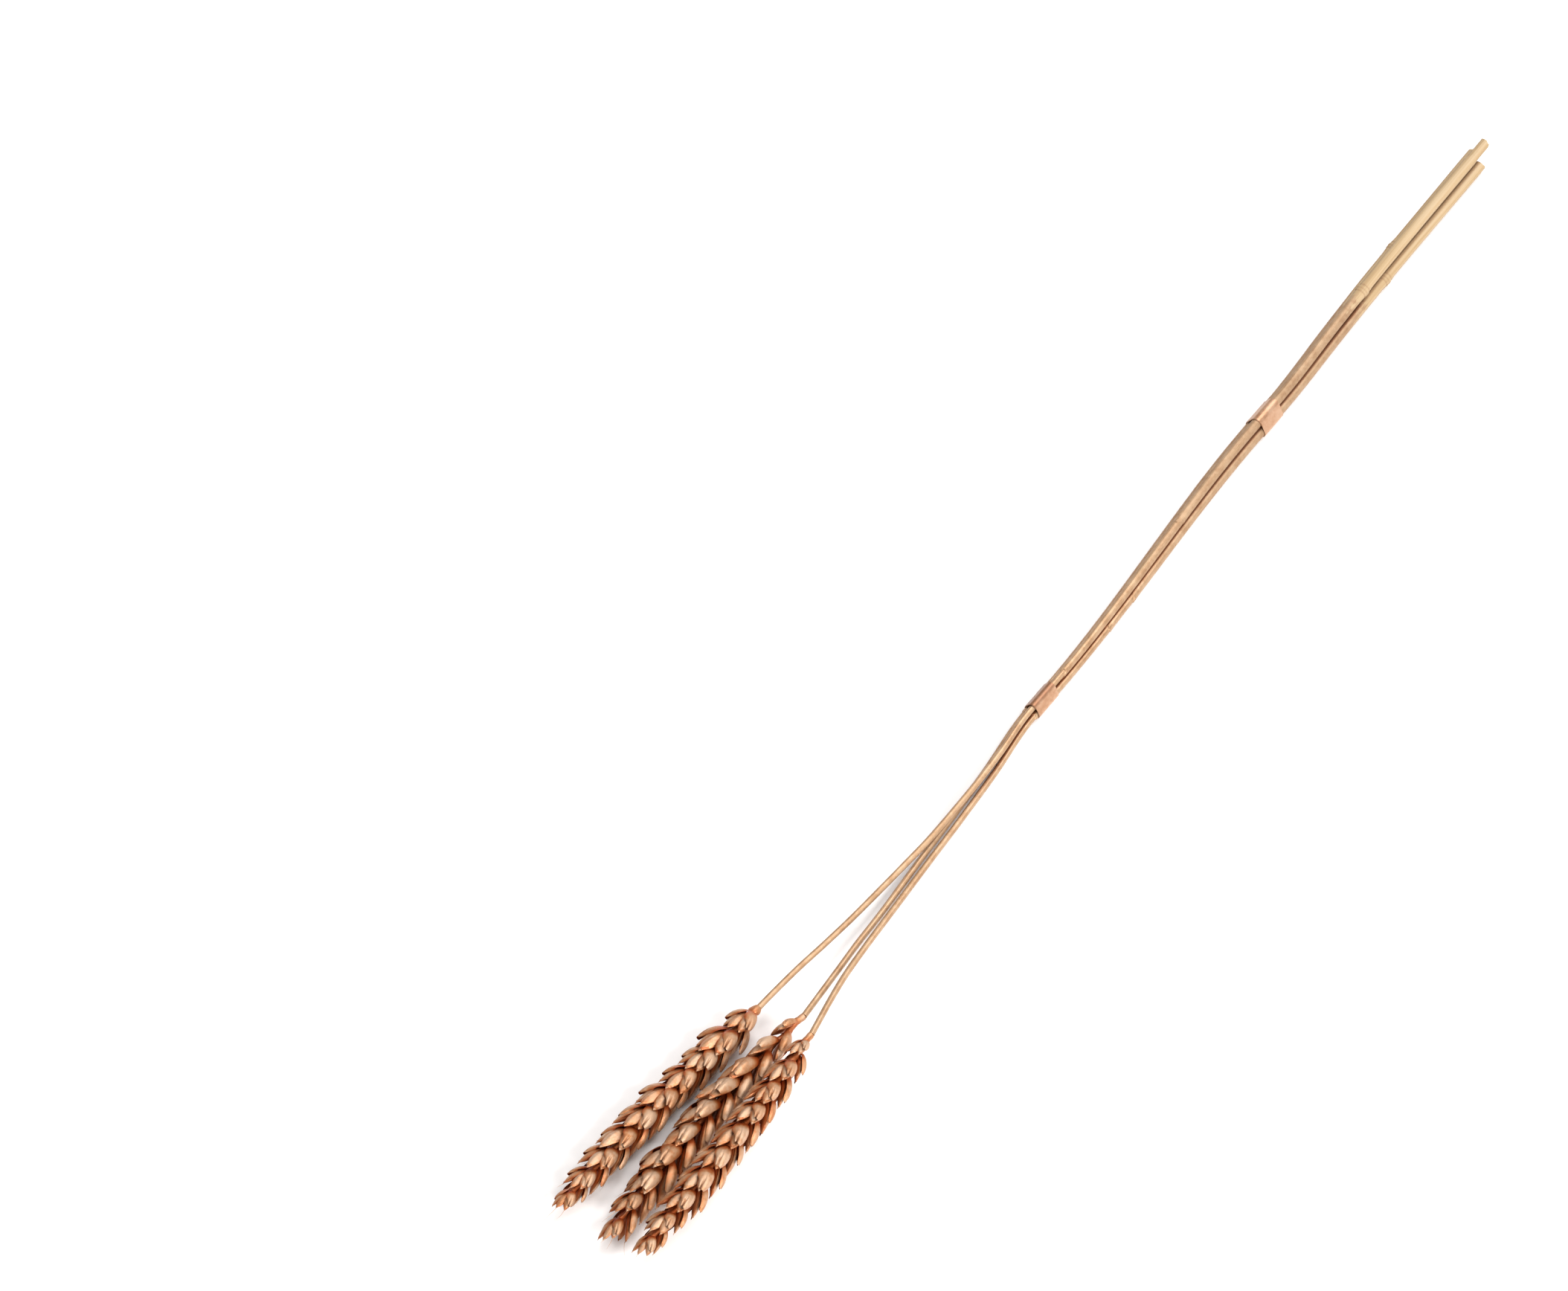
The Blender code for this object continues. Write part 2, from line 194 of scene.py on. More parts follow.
# Nothing is divided by a length under this.
TINY = 1e-9

# Where the spray lies. It ends at the foot. Painted shade darkens the sides that face the middle of the
# bundle, up to where the straws fan out below the ears and less past the end of the spray, the sides that face
# away from the light, and the hollow bore.
PAINT_END = 214.0 * MM
PAINT_END_EASE = 8 * MM
PAINT_END_RELIEF = 0.6
FAN_END = -62.0 * MM
FAN_EASE = 35 * MM
HIDDEN_FROM = 0.22
HIDDEN_OVER = 0.30
HIDDEN_DEPTH = 0.85
SHADING_LIGHT_FROM = np.array([0.0, -0.376, 0.927])
AWAY_FROM = 0.62
AWAY_OVER = 0.70
AWAY_DEPTH = 0.42
BORE_SHADE = 0.35

# The fibres run along a cylinder of this radius, and each straw's seed shifts them, so that no two match.
GRAIN_RADIUS = 2 * MM
GRAIN_SHIFT = 0.05


def at(x, y, z):
    """A point given in millimetres."""
    return Vector((x * MM, y * MM, z * MM))


def route_slope(points, k, axis):
    """Slope of y or z against x at point k: between those on its two sides, and level where they turn."""
    steps = []
    for a, b in ((k - 1, k), (k, k + 1)):
        if 0 <= a and b < len(points):
            steps.append((points[b][axis] - points[a][axis]) / (points[b].x - points[a].x))
    if len(steps) == 1:
        return steps[0]
    if steps[0] * steps[1] <= 0:
        return 0.0
    return 2 * steps[0] * steps[1] / (steps[0] + steps[1])


def route_at(points, x):
    """The point of a route at x, on one smooth curve that never swings past the points it runs through."""
    k = 0
    while k < len(points) - 2 and x > points[k + 1].x:
        k += 1
    a, b = points[k], points[k + 1]
    length = b.x - a.x
    u = (x - a.x) / length
    place = Vector((x, 0, 0))
    for axis in (1, 2):
        start = route_slope(points, k, axis) * length
        end = route_slope(points, k + 1, axis) * length
        rise = b[axis] - a[axis]
        place[axis] = a[axis] + u * (start + u * (3 * rise - 2 * start - end + u * (start + end - 2 * rise)))
    return place


def route_heading(points, x):
    """The unit direction of a route at x."""
    reach = 2 * MM
    ahead = route_at(points, min(x + reach, points[-1].x))
    behind = route_at(points, max(x - reach, points[0].x))
    return (ahead - behind).normalized()


def band_layout(x):
    """Half the distance between the two lower straws, and the heights of the lower and upper straws."""
    share = x / UPPER_BAND_X
    radius = LOWER_BAND_RADIUS + (UPPER_BAND_RADIUS - LOWER_BAND_RADIUS) * share
    half = radius + STRAW_GAP / 2
    low = radius + STRAW_GAP + TAPE_THICK
    return half, low, low + half * math.sqrt(3.0)


def straw_route(fan, lower, upper, foot):
    """A straw's route: fanned out by the ears, then straight through both bands to the cut end."""
    through = []
    for band_x, (y, z) in ((0.0, lower), (UPPER_BAND_X, upper)):
        for offset in (-BAND_REACH, BAND_REACH):
            through.append(Vector((band_x + offset, y, z)))
    return [at(*p) for p in fan] + through + [at(*p) for p in foot]


def ripple(draw, waves, fall):
    """A random wave round a full turn, about one high, as a function of the angle."""
    terms = []
    for k in range(1, waves + 1):
        terms.append((k, draw.uniform(0.5, 1.0) / k ** fall, draw.uniform(0, 2 * math.pi)))
    return lambda angle: sum(size * np.cos(k * angle + start) for k, size, start in terms)


def smooth_step(x):
    """Eases from 0 to 1 as x goes from 0 to 1, and stays level beyond."""
    x = np.clip(x, 0.0, 1.0)
    return x * x * (3 - 2 * x)


class Skin:
    """Closed bodies gathered for one mesh, each vertex with its place in the grain and its painted shade."""

    def __init__(self):
        self.verts, self.faces, self.grain, self.shade = [], [], [], []
        self.count = 0

    def add(self, verts, faces, grain, shade):
        """Adds one closed body, turned so that its faces point out."""
        corners = verts[faces]
        first = np.cross(corners[:, 1] - corners[:, 0], corners[:, 2] - corners[:, 0])
        second = np.cross(corners[:, 2] - corners[:, 0], corners[:, 3] - corners[:, 0])
        if np.sum(first * corners[:, 0]) + np.sum(second * corners[:, 0]) < 0:
            faces = faces[:, ::-1]
        self.verts.append(verts)
        self.faces.append(faces + self.count)
        self.grain.append(grain)
        self.shade.append(shade)
        self.count += len(verts)

    def build(self, name, material):
        """Makes the piece: one mesh of all the bodies, with nothing below the table."""
        mesh = bpy.data.meshes.new(name)
        verts = np.concatenate(self.verts)
        verts[:, 2] = np.maximum(verts[:, 2], 0.0)
        mesh.from_pydata(verts.tolist(), [], np.concatenate(self.faces).tolist())
        grain = mesh.attributes.new("grain", "FLOAT_VECTOR", "POINT")
        grain.data.foreach_set("vector", np.concatenate(self.grain).astype(np.float32).ravel())
        shade = mesh.attributes.new("shade", "FLOAT", "POINT")
        shade.data.foreach_set("value", np.concatenate(self.shade).astype(np.float32))
        mesh.shade_smooth()
        mesh.set_sharp_from_angle(angle=math.radians(SHARP_ANGLE))
        mesh.materials.append(material)
        piece = bpy.data.objects.new(name, mesh)
        bpy.context.scene.collection.objects.link(piece)
        return piece


def ring_angles(sides):
    """The angles of a ring's corners, the first one half a step round."""
    return 2 * math.pi * (np.arange(sides) + 0.5) / sides


def tube_rings(places, headings, radii, x_shift=None):
    """Rings of a tube's points: places and headings are (n, 3), radii is (n, sides). A shift moves each point
    along the heading."""
    angle = ring_angles(radii.shape[1])
    side = np.cross([0.0, 0.0, 1.0], headings)
    side /= np.linalg.norm(side, axis=1, keepdims=True)
    up = np.cross(headings, side)
    spokes = side[:, None, :] * np.cos(angle)[None, :, None] + up[:, None, :] * np.sin(angle)[None, :, None]
    points = places[:, None, :] + spokes * radii[:, :, None]
    if x_shift is not None:
        points = points + headings[:, None, :] * x_shift[:, :, None]
    return points


def cap_rings(points):
    """Adds a much smaller ring in the plane of each end, for add_tube to fill."""
    first = np.repeat(points[0].mean(0)[None, None, :], points.shape[1], axis=1)
    last = np.repeat(points[-1].mean(0)[None, None, :], points.shape[1], axis=1)
    first = first + (points[:1] - first) * CAP_SHARE
    last = last + (points[-1:] - last) * CAP_SHARE
    return np.concatenate([first, points, last])


def add_tube(skin, points, grain, shade):
    """One closed tube: walls between its rings, and strips of quads across the rings at its two ends."""
    rings, sides = points.shape[:2]
    index = np.arange(rings * sides).reshape(rings, sides)
    after = np.roll(index, -1, axis=1)
    faces = [np.stack([index[:-1], after[:-1], after[1:], index[1:]], -1).reshape(-1, 4)]
    for base in (0, (rings - 1) * sides):
        strip = []
        for i in range(sides // 2 - 1):
            quad = [base + i, base + i + 1, base + sides - 2 - i, base + sides - 1 - i]
            strip.append(quad if base == 0 else quad[::-1])
        faces.append(np.array(strip)[:, ::-1])
    skin.add(points.reshape(-1, 3), np.concatenate(faces), grain.reshape(-1, 3), shade.reshape(-1))


def straw_stations(straw):
    """Where the rings of a straw lie: evenly spaced, and close together at sheath edges and the knot."""
    neck_x, foot_x = straw["route"][0].x, straw["route"][-1].x
    places = list(np.arange(neck_x, foot_x, RING_STEP)) + [foot_x]
    fine = []
    for edge, _, _ in straw["edges"]:
        fine.append((edge - EDGE_SPAN, edge + EDGE_SPAN, EDGE_STEP))
    fine.append((straw["knot"] - KNOT_LENGTH, straw["knot"] + KNOT_LENGTH, KNOT_STEP))
    fine.append((foot_x - FOOT_TRIM, foot_x, EDGE_STEP * 2))
    for low, high, step in fine:
        places = [x for x in places if not low - step < x < high + step]
        places += list(np.arange(low, high, step)) + [high]
    return np.array(sorted(x for x in places if neck_x <= x <= foot_x))


def straw_radii(straw, stations, angle, draw):
    """Radius of a straw at each station and angle, with its ribs, layers, knot and ragged sheath edges."""
    neck_x, foot_x = straw["route"][0].x, straw["route"][-1].x
    x = stations[:, None]
    sheath_x = straw["edges"][0][0]
    bare_share = (x - neck_x) / (sheath_x - neck_x)
    bare = NECK_RADIUS + (BARE_TOP_RADIUS - NECK_RADIUS) * bare_share
    band_share = np.clip(x, 0.0, UPPER_BAND_X) / UPPER_BAND_X
    foot_share = np.clip((x - UPPER_BAND_X) / (foot_x - UPPER_BAND_X), 0.0, 1.0)
    sheath = LOWER_BAND_RADIUS + (UPPER_BAND_RADIUS - LOWER_BAND_RADIUS) * band_share
    sheath = sheath + (FOOT_RADIUS - UPPER_BAND_RADIUS) * foot_share
    knot = (x - straw["knot"]) / (KNOT_LENGTH / 2)
    sheath = sheath + KNOT_SWELL * np.exp(-knot ** 2)
    for place, depth in KNOT_RINGS:
        sheath = sheath - depth * MM * np.exp(-((knot - place) / KNOT_RING_WIDTH) ** 2)
    radius = bare + 0 * angle[None, :]
    for k, (edge, ragged, step) in enumerate(straw["edges"]):
        wave = ripple(draw, 5, 0.9)
        line = edge + ragged * wave(angle)[None, :] * 0.5
        inside = smooth_step((x - line) / STEP_WIDTH + 0.5)
        lift = np.clip(0.4 + 0.6 * wave(angle + 1.3)[None, :], 0.0, 1.2)
        lip = LIP_HEIGHT * np.exp(-np.abs(x - line) / LIP_LENGTH) * inside * lift
        if k == 0:
            radius = radius + (sheath - radius) * inside + lip
        else:
            layer = step * inside * np.exp(-np.clip(x - line, 0, None) / LAYER_FADE)
            radius = radius + layer + lip * (step > 0)
    ribs = np.cos(MAIN_RIBS * angle + draw.uniform(0, 6))
    ribs = ribs + FINE_RIB_SHARE * np.cos(FINE_RIBS * angle + draw.uniform(0, 6))
    height = (0.8 + 0.2 * np.sin(x / RIB_WAVE)) * RIB_HEIGHT * smooth_step((x - neck_x) / RIB_RISE)
    calm = 1.0 - 0.75 * np.exp(-(knot / KNOT_CALM_REACH) ** 2)
    dents = ripple(draw, 3, 0.3)(angle)[None, :] * np.sin(x / DENT_LENGTH + draw.uniform(0, 6)) * DENT_DEPTH
    return radius + ribs[None, :] * height * calm + dents


def hidden_share(points, places):
    """How squarely each point of a straw faces the middle of the bundle, its share of painted shade there."""
    routes = [other["route"] for other in STRAWS.values()]
    middles = []
    for x in places[:, 0]:
        across = [route_at(route, min(max(x, route[0].x), route[-1].x)) for route in routes]
        middles.append(sum(across, Vector()) / len(routes))
    inward = np.array(middles) - places
    inward[:, 0] = 0.0
    inward /= np.maximum(np.linalg.norm(inward, axis=1, keepdims=True), TINY)
    outward = points - places[:, None, :]
    outward[:, :, 0] = 0.0
    outward /= np.maximum(np.linalg.norm(outward, axis=2, keepdims=True), TINY)
    facing = np.sum(outward * inward[:, None, :], axis=2)
    close = smooth_step((places[:, :1] - FAN_END) / FAN_EASE)
    close = close * (1.0 - PAINT_END_RELIEF * smooth_step((places[:, :1] - PAINT_END) / PAINT_END_EASE))
    return smooth_step((facing - HIDDEN_FROM) / HIDDEN_OVER) * close


def turned_away(points, places):
    """How far each point of a straw faces away from the light, its share of painted shade."""
    outward = points - places[:, None, :]
    outward /= np.maximum(np.linalg.norm(outward, axis=2, keepdims=True), TINY)
    return smooth_step((AWAY_FROM - outward @ SHADING_LIGHT_FROM) / AWAY_OVER)


def add_straw(skin, straw):
    """A culm along its route, hollow from the cut end to its knot, as one closed body."""
    draw = random.Random(straw["seed"])
    route = straw["route"]
    stations = straw_stations(straw)
    angle = ring_angles(STRAW_SIDES)
    radii = straw_radii(straw, stations, angle, draw)
    foot_x = route[-1].x
    cut = ripple(draw, 9, 0.8)(angle) * CUT_ROUGHNESS + straw["slant"] * np.cos(angle - straw["slant_turn"])
    cut = cut - cut.max()
    bore_x = foot_x + (straw["knot"] + KNOT_LENGTH - foot_x) * (np.arange(BORE_RINGS) / (BORE_RINGS - 1))
    uneven = 1 + BORE_STRAY * ripple(draw, 5, 0.5)(angle)
    bore = np.full((BORE_RINGS, STRAW_SIDES), BORE_RADIUS) * uneven[None, :]
    all_x = np.concatenate([stations, bore_x])
    shift = np.clip((all_x - (foot_x - FOOT_TRIM)) / FOOT_TRIM, 0.0, 1.0)[:, None] * cut[None, :]
    places = np.array([route_at(route, x) for x in all_x])
    headings = np.array([route_heading(route, x) for x in all_x])
    points = cap_rings(tube_rings(places, headings, np.concatenate([radii, bore]), shift))
    along = np.concatenate([all_x[:1], all_x, all_x[-1:]])[:, None]
    across = GRAIN_RADIUS * np.cos(angle) + straw["seed"] * GRAIN_SHIFT
    upward = GRAIN_RADIUS * np.sin(angle)
    grain = np.stack([along + 0 * angle, 0 * along + across, 0 * along + upward], -1)
    shade = np.ones(points.shape[:2])
    # Painted shade on the sides that face the middle of the bundle.
    shade[1:-1] = 1.0 - HIDDEN_DEPTH * hidden_share(points[1:-1], places)
    # Painted shade on the sides that face away from the light.
    shade[1:-1] *= 1.0 - AWAY_DEPTH * turned_away(points[1:-1], places)
    for place, _ in KNOT_RINGS:
        ring = (all_x - straw["knot"]) / (KNOT_LENGTH / 2) - place
        shade[1:-1] *= 1.0 - KNOT_SHADE_DEPTH * np.exp(-(ring / KNOT_SHADE_WIDTH) ** 2)[:, None]
    # Painted shade in the hollow bore.
    shade[-BORE_RINGS:] = BORE_SHADE
    add_tube(skin, points, grain, shade)


# Shader groups for all finishes: the mottled film of sprayed copper, and fibres that run along the grain.

def group_of(name, inputs, outputs):
    """An empty node group with inputs given as (name, kind, default) and outputs as (name, kind)."""
    group = bpy.data.node_groups.new(name, "ShaderNodeTree")
    for label, kind, default in inputs:
        socket = group.interface.new_socket(label, in_out="INPUT", socket_type=kind)
        if default is not None:
            socket.default_value = default
    for label, kind in outputs:
        group.interface.new_socket(label, in_out="OUTPUT", socket_type=kind)
    return group


def node(tree, kind, inputs=(), **settings):
    """A shader node with these settings; inputs are (socket, value or socket to link from)."""
    made = tree.nodes.new(kind)
    for key, value in settings.items():
        setattr(made, key, value)
    for key, value in inputs:
        if isinstance(value, bpy.types.NodeSocket):
            tree.links.new(value, made.inputs[key])
        else:
            made.inputs[key].default_value = value
    return made


def maths(tree, operation, a, b, clamp=False):
    """The outcome of one Math node."""
    return node(tree, "ShaderNodeMath", [(0, a), (1, b)], operation=operation, use_clamp=clamp).outputs[0]


def blend_colour(tree, share, a, b):
    """Colour a where the share is 0, colour b where it is 1."""
    made = node(tree, "ShaderNodeMix", [(0, share), (6, a), (7, b)], data_type="RGBA")
    return made.outputs[2]


def ramp(tree, value, stops):
    """A colour ramp through (place, colour) stops."""
    made = node(tree, "ShaderNodeValToRGB", [(0, value)])
    while len(made.color_ramp.elements) < len(stops):
        made.color_ramp.elements.new(0.5)
    for element, (place, colour) in zip(made.color_ramp.elements, stops):
        element.position = place
        element.color = (*colour, 1.0)
    return made.outputs[0]


def span(tree, value, low, high, to_low=0.0, to_high=1.0):
    """Maps low..high to to_low..to_high, clamped and eased."""
    return node(tree, "ShaderNodeMapRange", [(0, value), (1, low), (2, high), (3, to_low), (4, to_high)],
                interpolation_type="SMOOTHSTEP").outputs[0]


def noise(tree, vector, scale, detail, roughness):
    """Cloudy noise, from 0 to 1 about a half."""
    return node(tree, "ShaderNodeTexNoise", [("Vector", vector), ("Scale", scale), ("Detail", detail),
                                             ("Roughness", roughness)]).outputs[0]


# Film of spray: Tone mottles it, Speckle is the dust of dry droplets, Height its fine orange peel.
spray = group_of("copper_spray", [("Vector", "NodeSocketVector", None), ("Scale", "NodeSocketFloat", 1.0)],
                 [("Tone", "NodeSocketFloat"), ("Speckle", "NodeSocketFloat"), ("Height", "NodeSocketFloat")])
spray_in = spray.nodes.new("NodeGroupInput")
spray_out = spray.nodes.new("NodeGroupOutput")
spray_vector = node(spray, "ShaderNodeVectorMath", [(0, spray_in.outputs["Vector"])], operation="SCALE")
spray.links.new(spray_in.outputs["Scale"], spray_vector.inputs["Scale"])
cloud = noise(spray, spray_vector.outputs[0], 190.0, 4.0, 0.6)
blotch = noise(spray, spray_vector.outputs[0], 620.0, 3.0, 0.6)
peel = noise(spray, spray_vector.outputs[0], 3600.0, 2.0, 0.7)
tone = maths(spray, "ADD", maths(spray, "MULTIPLY", cloud, 0.6), maths(spray, "MULTIPLY", blotch, 0.4))
spray.links.new(span(spray, tone, 0.34, 0.66), spray_out.inputs["Tone"])
spray.links.new(span(spray, peel, 0.58, 0.74), spray_out.inputs["Speckle"])
spray.links.new(peel, spray_out.inputs["Height"])

# Fibres: long streaks that follow the grain, broad ones in Streak and narrow ones in Fine.
fibres = group_of("dry_fibres", [("Grain", "NodeSocketVector", None), ("Length", "NodeSocketFloat", 30.0),
                                 ("Fineness", "NodeSocketFloat", 2000.0)],
                  [("Streak", "NodeSocketFloat"), ("Fine", "NodeSocketFloat")])
fibres_in = fibres.nodes.new("NodeGroupInput")
fibres_out = fibres.nodes.new("NodeGroupOutput")
stretch = node(fibres, "ShaderNodeCombineXYZ")
for axis, source in enumerate(("Length", "Fineness", "Fineness")):
    fibres.links.new(fibres_in.outputs[source], stretch.inputs[axis])
stretched = node(fibres, "ShaderNodeVectorMath", [(0, fibres_in.outputs["Grain"]), (1, stretch.outputs[0])],
                 operation="MULTIPLY").outputs[0]
broad = span(fibres, noise(fibres, stretched, 0.55, 3.0, 0.6), 0.32, 0.68)
fibres.links.new(broad, fibres_out.inputs["Streak"])
fibres.links.new(noise(fibres, stretched, 1.6, 3.0, 0.7), fibres_out.inputs["Fine"])


def finish_material(name):
    """A new material with its tree and shader, the piece's grain and shade, and its object coordinates."""
    material = bpy.data.materials.new(name)
    material.use_nodes = True
    tree = material.node_tree
    shader = tree.nodes["Principled BSDF"]
    grain = node(tree, "ShaderNodeAttribute", attribute_name="grain").outputs["Vector"]
    shade = node(tree, "ShaderNodeAttribute", attribute_name="shade").outputs["Fac"]
    place = node(tree, "ShaderNodeTexCoord").outputs["Object"]
    return material, tree, shader, grain, shade, place


def use_group(tree, group, **inputs):
    """Places a node group with these values or linked sockets."""
    made = tree.nodes.new("ShaderNodeGroup")
    made.node_tree = group
    for key, value in inputs.items():
        if isinstance(value, bpy.types.NodeSocket):
            tree.links.new(value, made.inputs[key])
        else:
            made.inputs[key].default_value = value
    return made


def raise_relief(tree, shader, fine, peel, fine_share, peel_share, strength, depth):
    """Bumps the shader's surface by the fibres and by the film's orange peel, this deep."""
    relief = maths(tree, "ADD", maths(tree, "MULTIPLY", fine, fine_share),
                   maths(tree, "MULTIPLY", peel, peel_share))
    bump = node(tree, "ShaderNodeBump", [("Strength", strength), ("Distance", depth), ("Height", relief)])
    tree.links.new(bump.outputs[0], shader.inputs["Normal"])


# Tones of bare straw and of the copper film on it, each from its darkest to its lightest; then the tints of
# the fibres, of dry dust, of painted shade, and of the duller film towards the foot.
BARE_TONES = [(0.0, (0.38, 0.250, 0.120)), (0.5, (0.46, 0.325, 0.180)), (1.0, (0.49, 0.365, 0.225))]
STRAW_TONES = [(0.0, (0.34, 0.195, 0.105)), (0.5, (0.42, 0.267, 0.158)), (1.0, (0.49, 0.335, 0.212))]
STRAW_FIBRE = (0.30, 0.155, 0.055, 1.0)
STRAW_DUST = (0.56, 0.41, 0.27, 1.0)
STRAW_PAINTED_SHADE = (0.16, 0.036, 0.003, 1.0)
STRAW_DULL = (0.20, 0.16, 0.11, 1.0)

straw_finish, tree, shader, grain, shade, place = finish_material("sprayed_straw")
film = use_group(tree, spray, Vector=place, Scale=1.0)
fibre = use_group(tree, fibres, Grain=grain, Length=22.0, Fineness=1500.0)
along = node(tree, "ShaderNodeSeparateXYZ", [(0, grain)]).outputs[0]
streak, fine, tone = fibre.outputs["Streak"], fibre.outputs["Fine"], film.outputs["Tone"]

# The spray ends in ragged streaks just before the first knot, and its thinnest spots show the straw.
ragged = maths(tree, "MULTIPLY", maths(tree, "SUBTRACT", streak, 0.5), 14 * MM)
mottled = maths(tree, "MULTIPLY", maths(tree, "SUBTRACT", tone, 0.5), 8 * MM)
reach = maths(tree, "ADD", maths(tree, "ADD", along, ragged), mottled)
foot_cover = span(tree, reach, PAINT_END - 3 * MM, PAINT_END + 4 * MM, 1.0, 0.0)
thin = maths(tree, "MULTIPLY", span(tree, fine, 0.52, 0.70), span(tree, tone, 0.2, 0.9, 0.75, 0.1))
spray_cover_and_root_shade = maths(tree, "MULTIPLY", foot_cover, maths(tree, "SUBTRACT", 1.0, thin), clamp=True)
bare = ramp(tree, streak, BARE_TONES)
copper = ramp(tree, tone, STRAW_TONES)
copper = blend_colour(tree, maths(tree, "MULTIPLY", fine, 0.35), copper, STRAW_FIBRE)
copper = blend_colour(tree, maths(tree, "MULTIPLY", film.outputs["Speckle"], 0.45), copper, STRAW_DUST)
colour = blend_colour(tree, spray_cover_and_root_shade, bare, copper)
# Painted shade where the shade attribute is low.
colour = blend_colour(tree, shade, STRAW_PAINTED_SHADE, colour)
colour = blend_colour(tree, span(tree, along, 20 * MM, 150 * MM, 0.0, 0.17), colour, STRAW_DULL)
tree.links.new(colour, shader.inputs["Base Color"])
tree.links.new(maths(tree, "MULTIPLY", spray_cover_and_root_shade, 0.55), shader.inputs["Metallic"])
rough = maths(tree, "ADD", span(tree, spray_cover_and_root_shade, 0.0, 1.0, 0.60, 0.38), maths(tree, "MULTIPLY", fine, 0.14))
rough = maths(tree, "ADD", rough, span(tree, along, 30 * MM, 120 * MM, 0.0, 0.14))
tree.links.new(rough, shader.inputs["Roughness"])
raise_relief(tree, shader, fine, film.outputs["Height"], 0.8, 0.25, 0.35, 0.09 * MM)

half_low, bottom_low, top_low = band_layout(0.0)
half_up, bottom_up, top_up = band_layout(UPPER_BAND_X)

# Each straw: the seed of its random draws, where its knot is, how far and which way its cut slants, its
# edges and its route. An edge of a layer is where it lies, how ragged it is, and how much thicker the straw
# gets behind it.
STRAWS = {
    "left": {
        "seed": 1, "knot": 222.6 * MM, "slant": 0.5 * MM, "slant_turn": 0.4,
        "edges": ((12.7 * MM, 3.6 * MM, 0.0), (92 * MM, 2.0 * MM, 0.06 * MM),
                  (302 * MM, 3.0 * MM, -0.20 * MM)),
        "route": straw_route(
            [(-164.5, 3.3, 7.1), (-158, 3.0, 6.9), (-145, 2.2, 6.4), (-130, 0.6, 6.1), (-116, -0.7, 5.9),
             (-102, -1.6, 5.75), (-88, -2.4, 5.65), (-70, -3.2, 5.55), (-50, -3.0, 5.45), (-30, -2.0, 5.2)],
            (0.0, top_low), (UPPER_BAND_Y, top_up),
            [(206, 8.0, 7.2), (236, 9.0, 7.6), (275, 9.7, 7.8), (313, 10.3, 7.8)]),
    },
    "middle": {
        "seed": 2, "knot": 250.0 * MM, "slant": 0.4 * MM, "slant_turn": 2.0,
        "edges": ((-8.6 * MM, 1.6 * MM, 0.0), (110 * MM, 2.0 * MM, 0.05 * MM)),
        "route": straw_route(
            [(-158.0, -11.3, 7.5), (-150, -10.5, 6.7), (-134, -8.8, 4.8), (-121, -7.5, 3.6),
             (-108, -6.7, 2.8), (-95, -5.7, 2.45), (-80, -4.5, 2.35), (-60, -3.2, 2.35), (-36, -1.2, 2.35)],
            (half_low, bottom_low), (UPPER_BAND_Y + half_up, bottom_up),
            [(206, 10.3, 3.15), (236, 11.5, 3.2), (275, 12.2, 3.2), (309, 12.8, 3.2)]),
    },
    "right": {
        "seed": 3, "knot": 235.5 * MM, "slant": 0.7 * MM, "slant_turn": 4.0,
        "edges": ((-7.8 * MM, 1.8 * MM, 0.0), (39 * MM, 2.2 * MM, 0.08 * MM),
                  (57.3 * MM, 2.6 * MM, 0.12 * MM)),
        "route": straw_route(
            [(-164.5, -19.3, 12.2), (-158, -17.8, 11.3), (-148, -15.5, 9.8), (-136, -13.1, 7.8),
             (-123, -11.4, 6.0), (-109, -10.0, 4.5), (-96, -8.8, 3.4), (-80, -7.5, 2.6), (-60, -6.2, 2.35),
             (-36, -4.4, 2.35)],
            (-half_low, bottom_low), (UPPER_BAND_Y - half_up, bottom_up),
            [(206, 5.6, 3.15), (236, 6.5, 3.2), (275, 7.1, 3.2), (306, 7.5, 3.2)]),
    },
}
for side_name, straw in STRAWS.items():
    skin = Skin()
    add_straw(skin, straw)
    piece = skin.build("dry_straw_" + side_name, straw_finish)
    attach(piece, "root")
    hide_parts("straw_" + side_name)


# Ears
# Three heads of bread wheat, dried and sprayed: a zigzag rachis with two rows of spikelets. Each spikelet
# is a fan of keeled husks, two blunt glumes outside and pointed lemmas between them, each lemma closed by
# its plump floret.

# The rachis: its nodes, the length of the husk past the last one, its radius and how it tapers, its zigzag,
# its narrower waist between nodes, its tone among the husks' marks, the stub that sits on the straw, and
# the collar there, in steps between nodes.
EAR_NODES = 18
EAR_FIRST_NODE = 3.6 * MM
TIP_HUSK = 8.4 * MM
RACHIS_RADIUS = 1.3 * MM
RACHIS_TAPER = 0.3
RACHIS_ZIGZAG = 0.5 * MM
RACHIS_WAIST = 0.82
RACHIS_SIDES = 14
RACHIS_MARK = 0.6
STUB_RADIUS = 1.25 * MM
STUB_REACH = 0.27 * MM
COLLAR_AT = 0.5
COLLAR_WIDTH = 0.35

# How the spikelets stand: the lean of each row in degrees, how far they are raised off the rachis, and how
# far size, lean, turn and single husks stray, in shares and degrees.
SPIKELET_LEANS = (15.5, 20.0)
SPIKELET_RAISE = 0.35 * MM
SIZE_STRAY = 0.05
LEAN_STRAY = 3.0
TURN_STRAY = 2.5
HUSK_STRAY = 4.4

# Husks of a spikelet in the order they grow: the turn to the side and the pitch outward in degrees, where
# the root lies up the spikelet, to its side and outward in millimetres, how squarely the back faces
# outward, kind and size.
SPIKELET = ((20.0, 2.0, 0.0, 1.3, 0.3, 0.9, "glume", 1.0), (-29.0, 2.0, 0.0, -1.4, 0.4, 0.9, "glume", 1.06),
            (11.0, 2.0, 0.6, 0.8, 0.0, 1.3, "lemma", 1.0), (-22.0, 1.0, 0.3, -0.9, 0.0, 1.3, "lemma", 0.92),
            (-5.0, 4.0, 1.2, 0.0, 0.2, 6.0, "lemma", 0.96))
